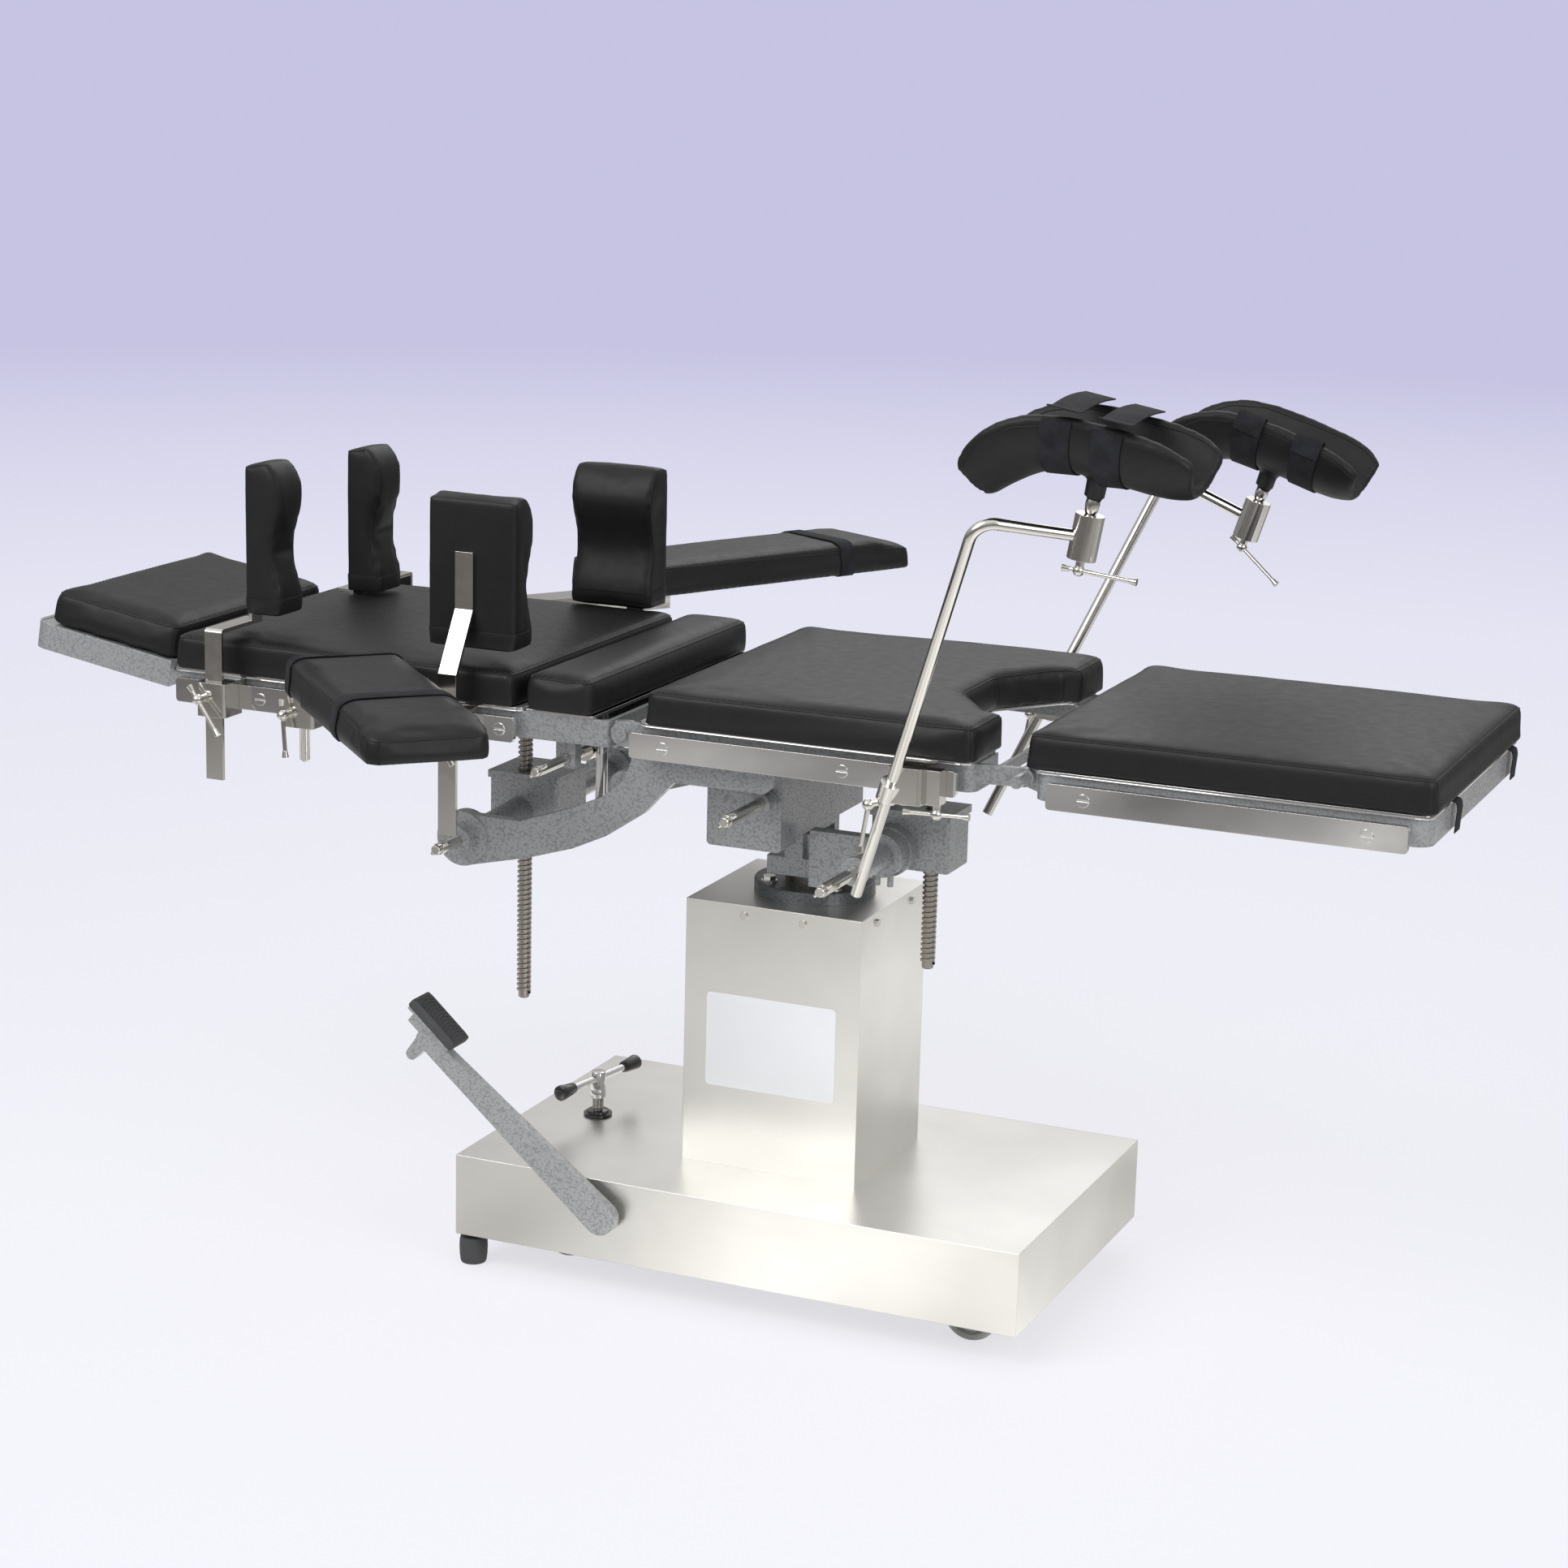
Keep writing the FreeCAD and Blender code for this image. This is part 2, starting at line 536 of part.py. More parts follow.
def make_foot_gearbox():
    body = block(FGB_X0, FGB_X1, FGB_Y0, FGB_Y1, FGB_Z0, FGB_Z1)
    body = round_edges(body, 4, Z_DIR)
    lid = block(FGB_X0 - 2, FGB_X1 + 2, FGB_Y0 - 2, FGB_Y1 + 2, FGB_Z1, FGB_Z1 + LID_T)
    boss = y_bar(TRUNNION_X, TRUNNION_Z, 33, ARM_Y1 + SLIDING, FGB_Y0)
    tube = y_bar(TRUNNION_X, TRUNNION_Z, TRUNNION_R, -188, FGB_Y0)
    ring = y_bar(TRUNNION_X, TRUNNION_Z, TRUNNION_R + 3, -196, -188)
    whole = fused(body, lid, boss, tube, ring)
    whole = whole.cut(z_bar(FOOT_SCREW_X, SCREW_Y, SCREW_R + RUNNING, FGB_Z0 - 5, FGB_Z1 + LID_T + 5))
    return whole.cut(y_bar(TRUNNION_X, TRUNNION_Z, CRANK_R + RUNNING, -200, FGB_Y0 + 15))


def lead_screw(x, y, z0, pin_z, shank):
    # The thread ends a shank's length below the eye, clear of the ears on both sides of it.
    thread = z_bar(x, y, SCREW_R, z0, pin_z - shank)
    thread = thread.makeChamfer(2, [e for e in thread.Edges if e.BoundBox.ZMax < z0 + 0.1])
    eye = y_bar(x, pin_z, 11, y - 7, y + 7)
    neck = z_bar(x, y, 6, pin_z - shank - 1, pin_z - 4)
    return fused(thread, neck, eye)


def make_cradle():
    body = block(PIVOT_X - 18, PIVOT_X + 18, -44, 44, PIVOT_Z - 19, CRADLE_ARM_Z1)
    body = body.cut(y_bar(PIVOT_X, PIVOT_Z, PIVOT_R + RUNNING, -60, 60))
    body = body.cut(x_bar(0, ROLL_Z, ROLL_R + RUNNING, -60, 60))
    arm = block(PIVOT_X + 18, FOOT_SCREW_X - 20, SCREW_Y - 16, SCREW_Y + 16, CRADLE_ARM_Z0, CRADLE_ARM_Z1)
    ears = []
    for side in (-1, 1):
        y0, y1 = sorted((SCREW_Y + side * 8, SCREW_Y + side * 16))
        ears.append(block(FOOT_SCREW_X - 24, FOOT_SCREW_X + 16, y0, y1, CRADLE_ARM_Z0, FOOT_SCREW_PIN_Z + 10))
        bolt0, bolt1 = sorted((SCREW_Y + side * 16, SCREW_Y + side * 21))
        ears.append(y_bar(FOOT_SCREW_X, FOOT_SCREW_PIN_Z, 6, bolt0, bolt1))
    return fused(body, arm, *ears)


# Table top sections

def tray(x0, x1, half, board_x0, board_x1, corner):
    # Side walls of folded section with a board on top, open underneath.
    outer = block(x0, x1, -half, half, FRAME_BOTTOM, FRAME_TOP)
    outer = round_edges(outer, corner, Z_DIR)
    inner = block(x0 + FRAME_WALL, x1 - FRAME_WALL, FRAME_WALL - half, half - FRAME_WALL,
                  FRAME_BOTTOM - 1, FRAME_TOP + 1)
    inner = round_edges(inner, max(corner - FRAME_WALL, 1), Z_DIR)
    board = block(board_x0, board_x1, -half - 4, half + 4, FRAME_TOP, PAD_BOTTOM)
    board = round_edges(board, corner, Z_DIR)
    return outer.cut(inner), board


def make_rails(x0, x1, screw_xs, frame_half=FRAME_HALF_W):
    pieces = []
    strip = block(x0, x1, -RAIL_FACE, -RAIL_FACE + RAIL_T, RAIL_Z0, RAIL_Z1)
    strip = round_edges(strip, 5, Y_DIR)
    parts = [strip]
    z = (RAIL_Z0 + RAIL_Z1) / 2
    for x in screw_xs:
        parts.append(y_bar(x, z, SPACER_R, -RAIL_FACE + RAIL_T, -frame_half))
        head = y_bar(x, z, SCREW_HEAD_R, -RAIL_FACE - 1.5, -RAIL_FACE)
        parts.append(head.cut(block(x - 9, x + 9, -RAIL_FACE - 2, -RAIL_FACE - 0.8, z - 1, z + 1)))
    near = fused(*parts)
    return group(*both_sides(near))


def make_seat_frame():
    walls, board = tray(SEAT_X0, SEAT_X1, FRAME_HALF_W, SEAT_X0 + 4, SEAT_X1 - 4, 14)
    slot = prism_xy(cutout_points(8), FRAME_TOP - 5, PAD_BOTTOM + 5)
    board = board.cut(slot)
    gap = block(SEAT_X1 - FRAME_WALL - 1, SEAT_X1 + 1, -CUTOUT_MOUTH - 8, CUTOUT_MOUTH + 8,
                FRAME_BOTTOM + 14, FRAME_TOP + 1)
    walls = walls.cut(gap)
    parts = [walls, board]
    inner = FRAME_HALF_W - FRAME_WALL
    for x in (BOX_X0 - 3, BOX_X1 - 9):
        parts.append(block(x, x + 12, -inner, inner, FRAME_BOTTOM, FRAME_TOP))
    for side in (-1, 1):
        y0, y1 = sorted((side * HINGE_BAR_Y, side * (HINGE_BAR_Y + 12)))
        parts.append(link(BACK_HINGE_X, BACK_HINGE_Z, 16, SEAT_X0 + 12, BACK_HINGE_Z - 1, 16, y0, y1))
        pin0, pin1 = sorted((side * (HINGE_LUG_Y - 3), side * (FRAME_HALF_W + 2)))
        parts.append(y_bar(BACK_HINGE_X, BACK_HINGE_Z, PIN_R, pin0, pin1))
        bar0, bar1 = sorted((side * HINGE_BAR_Y, side * (HINGE_BAR_Y + 8)))
        parts.append(link(LEG_HINGE_X, LEG_HINGE_Z, 12, SEAT_X1 - 20, LEG_HINGE_Z - 3, 12, bar0, bar1))
        pin0, pin1 = sorted((side * (HINGE_LUG_Y - 1), side * (RAIL_FACE + 4)))
        parts.append(y_bar(LEG_HINGE_X, LEG_HINGE_Z, PIN_R, pin0, pin1))
    return fused(*parts)


def cutout_points(margin=0.0):
    end = SEAT_PAD_X1 + 40
    inner = SEAT_PAD_X1 - CUTOUT_DEPTH - margin
    mouth, narrow = CUTOUT_MOUTH + margin, CUTOUT_INNER + margin
    return [(end, -mouth), (SEAT_PAD_X1 - 24, -mouth), (inner, -narrow), (inner, narrow),
            (SEAT_PAD_X1 - 24, mouth), (end, mouth)]


def cushion(x0, x1, half, z0, z1):
    pad = block(x0, x1, -half, half, z0 + SOFT_GAP, z1)
    pad = round_edges(pad, 14, Z_DIR)
    top = [e for e in pad.Edges if e.BoundBox.ZMin > z1 - 0.1]
    return pad.makeFillet(PAD_ROUND - 2, top)


def make_seat_pad():
    pad = cushion(SEAT_PAD_X0, SEAT_PAD_X1, SEAT_PAD_HALF, PAD_BOTTOM, PAD_TOP)
    return pad.cut(prism_xy(cutout_points(), PAD_BOTTOM - 10, PAD_TOP + 10))


def make_tilt_gearbox():
    case = block(BOX_X0, BOX_X1, BOX_Y0, BOX_Y1, BOX_Z0, FRAME_BOTTOM)
    case = round_edges(case, 6, Y_DIR, lambda c: c.z < BOX_Z0 + 1)
    plates = []
    for x0, x1 in ((BOX_X0, BOX_X0 + SIDE_PLATE_T), (BOX_X1 - SIDE_PLATE_T, BOX_X1)):
        plate = block(x0, x1, BOX_Y1, SIDE_PLATE_Y1, BOX_Z0 + 9, FRAME_BOTTOM)
        plates.append(plate)
    window = block(BOX_X1 - 10, BOX_X1 + 5, SCREW_Y - 34, SCREW_Y + 34, CRADLE_ARM_Z0 - 16, FRAME_BOTTOM + 1)
    roll = x_bar(0, ROLL_Z, ROLL_R, BOX_X0 - 4, BOX_X1 + 4)
    washer = y_bar(ROLL_CRANK_X, ROLL_CRANK_Z, 18, BOX_Y0 - 4, BOX_Y0)
    nut = y_bar(ROLL_CRANK_X, ROLL_CRANK_Z, 14, BOX_Y0 - 18, BOX_Y0 - 4)
    whole = fused(case, plates[0], plates[1].cut(window), roll, washer, nut)
    return whole.cut(y_bar(ROLL_CRANK_X, ROLL_CRANK_Z, CRANK_R + RUNNING, BOX_Y0 - 30, BOX_Y1 - 10))


def actuator_plate():
    # The curved cast plate from the seat frame down to the back gearbox's eye.
    top = FRAME_BOTTOM
    lower = [(44, top), (44, 716), (30, 704), (-96, 704), (-108, 692), (-140, 657), (-193, 621), (-240, 599),
             (-306, 578), (BACK_SHAFT_X + 8, BACK_SHAFT_Z - ACT_EYE_R + 1)]
    upper = [(BACK_SHAFT_X - 10, BACK_SHAFT_Z + ACT_EYE_R - 3), (-318, 626), (-250, 650), (-200, 672),
             (-166, 700), (-152, top)]
    web = prism_xz(lower + upper, -ACT_Y1, -ACT_Y0)
    eye = y_bar(BACK_SHAFT_X, BACK_SHAFT_Z, ACT_EYE_R, -ACT_Y1 - 3, -ACT_Y0 + 3)
    return fused(web, eye)


def make_actuator_arms():
    near = actuator_plate()
    tube = y_bar(CROSS_TUBE_X, CROSS_TUBE_Z, CROSS_TUBE_R, -ACT_Y0, ACT_Y0)
    whole = fused(near, far_side(near), tube)
    bush = y_bar(BACK_SHAFT_X, BACK_SHAFT_Z, 19, -ACT_Y1 - 17, -ACT_Y1 - 3)
    bore = y_bar(BACK_SHAFT_X, BACK_SHAFT_Z, 15 + RUNNING, -ACT_Y1 - 3, ACT_Y1 + 10)
    shaft_bore = y_bar(BACK_SHAFT_X, BACK_SHAFT_Z, CRANK_R + RUNNING, -ACT_Y1 - 30, -ACT_Y1)
    return group(whole.cut(bore), bush.cut(shaft_bore))


def make_back_gearbox():
    x = BACK_SHAFT_X
    body = block(BGB_X0, BGB_X1, BGB_Y0, BGB_Y1, BGB_Z0, BGB_Z1)
    body = round_edges(body, 4, Z_DIR)
    lid = block(BGB_X0 - 2, BGB_X1 + 2, BGB_Y0 - 2, BGB_Y1 + 2, BGB_Z1, BGB_Z1 + LID_T)
    near_cone = bar(V(x, BGB_Y0, BACK_SHAFT_Z), V(x, -ACT_Y0 + 6, BACK_SHAFT_Z), 21, 15)
    far_cone = bar(V(x, BGB_Y1, BACK_SHAFT_Z), V(x, ACT_Y0 - 6, BACK_SHAFT_Z), 21, 15)
    stub = y_bar(x, BACK_SHAFT_Z, 15, -ACT_Y1 - 2, -ACT_Y0 + 6)
    far_stub = y_bar(x, BACK_SHAFT_Z, 15, ACT_Y0 - 6, ACT_Y1 + 2)
    whole = fused(body, lid, near_cone, far_cone, stub, far_stub)
    whole = whole.cut(z_bar(x, BACK_SCREW_Y, SCREW_R + RUNNING, BGB_Z0 - 5, BGB_Z1 + LID_T + 5))
    return whole.cut(y_bar(x, BACK_SHAFT_Z, CRANK_R + RUNNING, -ACT_Y1 - 10, BGB_Y0 + 12))


def make_back_frame():
    walls, board = tray(BACK_X0, BACK_X1, FRAME_HALF_W, BACK_X0 + 2, KIDNEY_X0 - 3, 14)
    parts = [walls, board]
    inner = FRAME_HALF_W - FRAME_WALL
    parts.append(block(KIDNEY_X0 - 15, KIDNEY_X0 - 3, -inner, inner, FRAME_BOTTOM, FRAME_TOP))
    parts.append(block(KIDNEY_X0 - 3, BACK_X1 - FRAME_WALL, -inner, inner, FRAME_BOTTOM, FRAME_BOTTOM + 8))
    for side in (-1, 1):
        bush0, bush1 = sorted((side * (FRAME_HALF_W - 45), side * (FRAME_HALF_W - 28)))
        hanger = block(KIDNEY_SHAFT_X - 14, KIDNEY_SHAFT_X + 14, bush0, bush1, KIDNEY_SHAFT_Z - 12, FRAME_BOTTOM)
        parts.append(hanger)
        lug0, lug1 = sorted((side * HINGE_LUG_Y, side * (HINGE_BAR_Y - 0.5)))
        parts.append(link(BACK_HINGE_X, BACK_HINGE_Z, 14, BACK_X1 - 16, BACK_HINGE_Z - 3, 14, lug0, lug1))
        ear0, ear1 = sorted((BACK_SCREW_Y + side * 8, BACK_SCREW_Y + side * 16))
        ear = fused(block(BACK_SHAFT_X - 16, BACK_SHAFT_X + 16, ear0, ear1, BACK_SCREW_PIN_Z, FRAME_TOP),
                    y_bar(BACK_SHAFT_X, BACK_SCREW_PIN_Z, 12, ear0, ear1))
        parts.append(ear)
        head0, head1 = sorted((side * HEAD_LUG_Y, side * (HEAD_LUG_Y + 12)))
        parts.append(link(HEAD_HINGE_X, HEAD_HINGE_Z, 10, BACK_X0 + 20, HEAD_HINGE_Z - 6, 14, head0, head1))
        pin0, pin1 = sorted((side * HEAD_LUG_Y, side * (HEAD_LUG_Y + 26)))
        parts.append(y_bar(HEAD_HINGE_X, HEAD_HINGE_Z, 6, pin0, pin1))
    frame = fused(*parts)
    for side in (-1, 1):
        frame = frame.cut(z_bar(RACK_X, side * RACK_Y, RACK_R + RUNNING, FRAME_BOTTOM - 5, FRAME_TOP + 5))
        bore0, bore1 = sorted((side * (HINGE_LUG_Y - 8), side * (HINGE_BAR_Y + 9)))
        frame = frame.cut(y_bar(BACK_HINGE_X, BACK_HINGE_Z, PIN_R + RUNNING, bore0, bore1))
    return frame.cut(y_bar(KIDNEY_SHAFT_X, KIDNEY_SHAFT_Z, KIDNEY_SHAFT_R + RUNNING, -FRAME_HALF_W + 10, FRAME_HALF_W - 10))


def make_kidney_bridge():
    plate = block(KIDNEY_X0 + 1, KIDNEY_X1 - 1, -FRAME_HALF_W - 2, FRAME_HALF_W + 2, FRAME_TOP + SOFT_GAP,
                  PAD_BOTTOM)
    racks = [z_bar(RACK_X, side * RACK_Y, RACK_R, RACK_Z0, FRAME_TOP + 1) for side in (-1, 1)]
    return fused(plate, *racks)


def make_kidney_crank():
    shaft = cross_pin_shaft(KIDNEY_SHAFT_X, KIDNEY_SHAFT_Z, BACK_CRANK_Y, FRAME_HALF_W - 26, KIDNEY_SHAFT_R)
    pinions = []
    for side in (-1, 1):
        pinions.append(y_bar(KIDNEY_SHAFT_X, KIDNEY_SHAFT_Z, PINION_R, side * RACK_Y - 9, side * RACK_Y + 9))
    return fused(shaft, *pinions)


def make_leg_frame():
    walls, board = tray(LEG_X0, LEG_X1, LEG_FRAME_HALF, LEG_X0, LEG_X1, 22)
    parts = [walls, board]
    for side in (-1, 1):
        y0, y1 = sorted((side * HINGE_LUG_Y, side * (HINGE_BAR_Y - 0.5)))
        parts.append(link(LEG_HINGE_X, LEG_HINGE_Z, 12, LEG_X0 + 14, LEG_HINGE_Z - 7, 14, y0, y1))
    frame = fused(*parts)
    for side in (-1, 1):
        bore0, bore1 = sorted((side * (HINGE_LUG_Y - 5), side * (HINGE_BAR_Y + 8)))
        frame = frame.cut(y_bar(LEG_HINGE_X, LEG_HINGE_Z, PIN_R + RUNNING, bore0, bore1))
    return frame


def tilt_head(shape):
    return turned(shape, HEAD_TILT, V(HEAD_HINGE_X, 0, HEAD_HINGE_Z), Y_DIR)


def make_head_frame():
    x1 = HEAD_HINGE_X - 4
    x0 = HEAD_HINGE_X - HEAD_LENGTH - 22
    z0, z1 = HEAD_HINGE_Z - 27, HEAD_HINGE_Z + 10
    outer = round_edges(block(x0, x1, -HEAD_FRAME_HALF, HEAD_FRAME_HALF, z0, z1), 22, Z_DIR,
                        lambda c: c.x < x0 + 5)
    inner = block(x0 + 6, x1 - 6, 6 - HEAD_FRAME_HALF, HEAD_FRAME_HALF - 6, z0 - 1, z1 + 1)
    board = block(x0 + 6, x1 - 6, 6 - HEAD_FRAME_HALF, HEAD_FRAME_HALF - 6, z1 - 5, z1 - 1)
    walls = outer.cut(round_edges(inner, 8, Z_DIR))
    for side in (-1, 1):
        y0, y1 = sorted((side * (HEAD_LUG_Y - 1.5), side * (HEAD_LUG_Y + 13)))
        walls = walls.cut(block(x1 - 7, x1 + 1, y0, y1, z0 - 1, z1 + 1))
    parts = [walls, board]
    for side in (-1, 1):
        y0, y1 = sorted((side * (HEAD_LUG_Y + 13.5), side * (HEAD_LUG_Y + 24)))
        parts.append(link(HEAD_HINGE_X, HEAD_HINGE_Z, 10, x1 - 14, HEAD_HINGE_Z - 4, 13, y0, y1))
    frame = fused(*parts)
    frame = frame.cut(y_bar(HEAD_HINGE_X, HEAD_HINGE_Z, 6 + RUNNING, 10 - HEAD_FRAME_HALF, HEAD_FRAME_HALF - 10))
    return tilt_head(frame)


def make_head_pad():
    x1 = HEAD_HINGE_X - 2
    pad = cushion(x1 - HEAD_LENGTH, x1, HEAD_PAD_HALF, HEAD_HINGE_Z + 10, PAD_TOP - 3)
    return tilt_head(pad)


# Accessories on the rails

def rail_clamp(x):
    body = block(x - CLAMP_HALF_X, x + CLAMP_HALF_X, -CLAMP_Y_OUT, -RAIL_FACE + RAIL_T + 7, CLAMP_Z0, CLAMP_Z1)
    body = round_edges(body, 5, Z_DIR, lambda c: c.y < -CLAMP_Y_OUT + 1)
    slot = block(x - CLAMP_HALF_X - 1, x + CLAMP_HALF_X + 1, -RAIL_FACE - SLIDING, -RAIL_FACE + RAIL_T + SLIDING,
                 RAIL_Z0 - SLIDING, RAIL_Z1 + SLIDING)
    mouth = block(x - CLAMP_HALF_X - 1, x + CLAMP_HALF_X + 1, -RAIL_FACE + RAIL_T - 1, -RAIL_FACE + 20,
                  CLAMP_Z0 - 1, RAIL_Z1 - 10)
    return body.cut(slot).cut(mouth)


def strap_slot(x):
    half = STRAP_W / 2 + SLIDING
    return block(x - half, x + half, -STRAP_Y - STRAP_T / 2 - SLIDING, -STRAP_Y + STRAP_T / 2 + SLIDING,
                 CLAMP_Z0 - 5, CLAMP_Z1 + 5)


def strap_clamp(x):
    body = rail_clamp(x).cut(strap_slot(x))
    hub = V(x - 12, -CLAMP_Y_OUT - 12, 757)
    main = t_screw(hub, Y_DIR, V(0.62, -0.1, -0.78))
    stem_cut = bar(hub, hub + Y_DIR * 14, 5.0)
    return [body.cut(stem_cut), main]


def arm_board_clamp(x):
    body = rail_clamp(x)
    body = body.cut(z_bar(x, -STRAP_Y + 6, ARM_PIN_R + RUNNING, CLAMP_Z0 - 5, CLAMP_Z1 + 5))
    hub = V(x - 16, -CLAMP_Y_OUT - 12, 750)
    screw = t_screw(hub, Y_DIR, V(0.1, -0.05, -0.99))
    return [body.cut(bar(hub, hub + Y_DIR * 14, 5.0)), screw]


NEAR_SHOULDER_X = -745.0
NEAR_SIDE_X = -392.0
FAR_SHOULDER_X = -780.0
FAR_SIDE_X = -400.0
NEAR_BOARD_X = -610.0
FAR_BOARD_X = -600.0


def make_back_rail_clamps():
    pieces = []
    for x in (NEAR_SHOULDER_X, NEAR_SIDE_X):
        pieces += strap_clamp(x)
    pieces += arm_board_clamp(NEAR_BOARD_X)
    for x in (FAR_SHOULDER_X, FAR_SIDE_X):
        pieces += [far_side(p) for p in strap_clamp(x)]
    pieces += [far_side(p) for p in arm_board_clamp(FAR_BOARD_X)]
    return group(*pieces)


def shoulder_strap(x, lift, reach):
    # Up through the clamp, level over the cushion, then up behind the pad.
    half = STRAP_W / 2
    y_out = -STRAP_Y - STRAP_T / 2
    level = PAD_TOP + lift
    upright = block(x - half, x + half, y_out, y_out + STRAP_T, level - 205, level)
    over = block(x - half, x + half, y_out, reach + half, level - STRAP_T, level)
    back = block(x + half - STRAP_T, x + half, reach - half, reach + half, level - STRAP_T, level + 120)
    return round_edges(fused(upright, over, back), 6, X_DIR,
                       lambda c: c.z > level - 1 and c.y < y_out + 1)


def side_strap(x, low, base, y_in):
    # Up through the clamp, leaning in over the cushion's edge, then up behind the pad.
    half = STRAP_W / 2
    y_out = -STRAP_Y - STRAP_T / 2
    knee, top = PAD_TOP - 6, base + 46
    points = [(y_out, low), (y_out + STRAP_T, low), (y_out + STRAP_T, knee), (y_in, top), (y_in, base + 122),
              (y_in - STRAP_T, base + 122), (y_in - STRAP_T, top + 1), (y_out, knee + 2)]
    corners = [V(x - half, y, z) for y, z in points]
    return Part.Face(Part.makePolygon(corners + corners[:1])).extrude(V(STRAP_W, 0, 0))


def side_pad(width, height):
    # Profile in depth and height: flat back at depth 0, a full top, a waist and a full foot.
    front = Part.BSplineCurve()
    front.interpolate([V(53, 0, 0), V(54, 0, 26), V(42, 0, height * 0.42), V(56, 0, height * 0.75),
                       V(48, 0, height * 0.92), V(32, 0, height)])
    back = Part.makePolygon([V(32, 0, height), V(0, 0, height - 6), V(0, 0, 0), V(53, 0, 0)])
    face = Part.Face(Part.Wire([front.toShape()] + back.Edges))
    return face.extrude(V(0, width, 0))


def place_side_pad(x, y, z, turn, width, height):
    pad = side_pad(width, height)
    pad.translate(V(0, -width / 2, 0))
    pad.rotate(V(0, 0, 0), Z_DIR, turn)
    pad.translate(V(x, y, z))
    return pad


NEAR_SHOULDER_Y = -FRAME_HALF_W + 42.0
FAR_SHOULDER_Y = FRAME_HALF_W - 111.0
PAD_BASE_NEAR = 861.0
PAD_BASE_FAR = 839.0
SIDE_BASE_NEAR = 852.0
SIDE_BASE_FAR = 835.0
SIDE_PAD_Y_NEAR = -FRAME_HALF_W + 2.0
SIDE_PAD_Y_FAR = FRAME_HALF_W + 16.0


def make_supports():
    half = STRAP_W / 2
    nodes = {}
    nodes["shoulder_strap_near"] = shoulder_strap(NEAR_SHOULDER_X, 20, NEAR_SHOULDER_Y)
    nodes["shoulder_pad_near"] = place_side_pad(NEAR_SHOULDER_X + half + SOFT_GAP, NEAR_SHOULDER_Y,
                                                PAD_BASE_NEAR, 0, SHOULDER_PAD_W, SHOULDER_PAD_H)
    nodes["shoulder_strap_far"] = far_side(shoulder_strap(FAR_SHOULDER_X, 8, -FAR_SHOULDER_Y))
    nodes["shoulder_pad_far"] = place_side_pad(FAR_SHOULDER_X + half + SOFT_GAP, FAR_SHOULDER_Y,
                                               PAD_BASE_FAR, 0, SHOULDER_PAD_W, SHOULDER_PAD_H)
    nodes["side_strap_near"] = side_strap(NEAR_SIDE_X, 612, PAD_BASE_NEAR - 4, SIDE_PAD_Y_NEAR)
    nodes["side_pad_near"] = place_side_pad(NEAR_SIDE_X + 8, SIDE_PAD_Y_NEAR + SOFT_GAP, SIDE_BASE_NEAR, 90,
                                            SIDE_PAD_W, SIDE_PAD_H)
    nodes["side_strap_far"] = far_side(side_strap(FAR_SIDE_X, 620, PAD_BASE_FAR - 4, -SIDE_PAD_Y_FAR))
    nodes["side_pad_far"] = place_side_pad(FAR_SIDE_X, SIDE_PAD_Y_FAR - SOFT_GAP, SIDE_BASE_FAR, -90,
                                           SIDE_PAD_W, SIDE_PAD_H)
    return nodes


def arm_board(clamp_x, side, direction, inner, length, under):
    # An upholstered board on a bracket whose pin stands in the clamp's socket.
    pin_y = side * (STRAP_Y - 6)
    board = Part.makeBox(length, ARM_BOARD_W, ARM_BOARD_T, V(0, -ARM_BOARD_W / 2, 0))
    board = round_edges(board, 18, Z_DIR)
    slope = Part.makeBox(80, ARM_BOARD_W + 20, 30, V(0, -ARM_BOARD_W / 2 - 10, 0))
    slope.rotate(V(0, 0, 0), Y_DIR, 13)
    slope.translate(V(length - 62, 0, ARM_BOARD_T))
    board = board.cut(slope)
    turn = math.degrees(math.atan2(direction[1], direction[0]))
    board.rotate(V(0, 0, 0), Z_DIR, turn)
    board.translate(V(inner[0], inner[1], under))
    plate_z0, plate_z1 = CLAMP_Z1 + 6, under
    mid = V(inner[0] + direction[0] * 120, inner[1] + direction[1] * 120, 0)
    root = V(clamp_x, pin_y, 0)
    run = mid - root
    plate = Part.makeBox(run.Length, 50, plate_z1 - plate_z0, V(0, -25, plate_z0))
    plate.rotate(V(0, 0, 0), Z_DIR, math.degrees(math.atan2(run.y, run.x)))
    plate.translate(root)
    disc = z_bar(clamp_x, pin_y, 25, plate_z0, plate_z1)
    collar = z_bar(clamp_x, pin_y, 12, CLAMP_Z1 + SLIDING, plate_z0)
    pin = z_bar(clamp_x, pin_y, ARM_PIN_R, 684, plate_z0)
    pin = pin.makeChamfer(3, [e for e in pin.Edges if e.BoundBox.ZMax < 684.1])
    return group(fused(plate, disc, collar, pin), board)


NEAR_BOARD_DIR = (0.700, -0.714)
FAR_BOARD_DIR = (0.46, 0.888)


# Leg supports

def unit(v):
    return v * (1.0 / v.Length)


def rod_direction(side):
    return unit(V(ROD_SLOPE_X, side * ROD_SLOPE_Y, 1))


SUPPORTS = {
    "near": {"side": -1, "bend_z": 1109.0, "end": V(478, -RAIL_FACE - 75, 1090), "lean": 9.6},
    "far": {"side": 1, "bend_z": 1060.0, "end": V(479, RAIL_FACE + 111, 1013), "lean": 17.0},
}
ROD_LOW_Z = 594.0


def rod_point(side, z):
    return V(ROD_CLAMP_X + ROD_SLOPE_X * (z - ROD_CLAMP_Z),
             side * (ROD_CLAMP_Y + ROD_SLOPE_Y * (z - ROD_CLAMP_Z)), z)


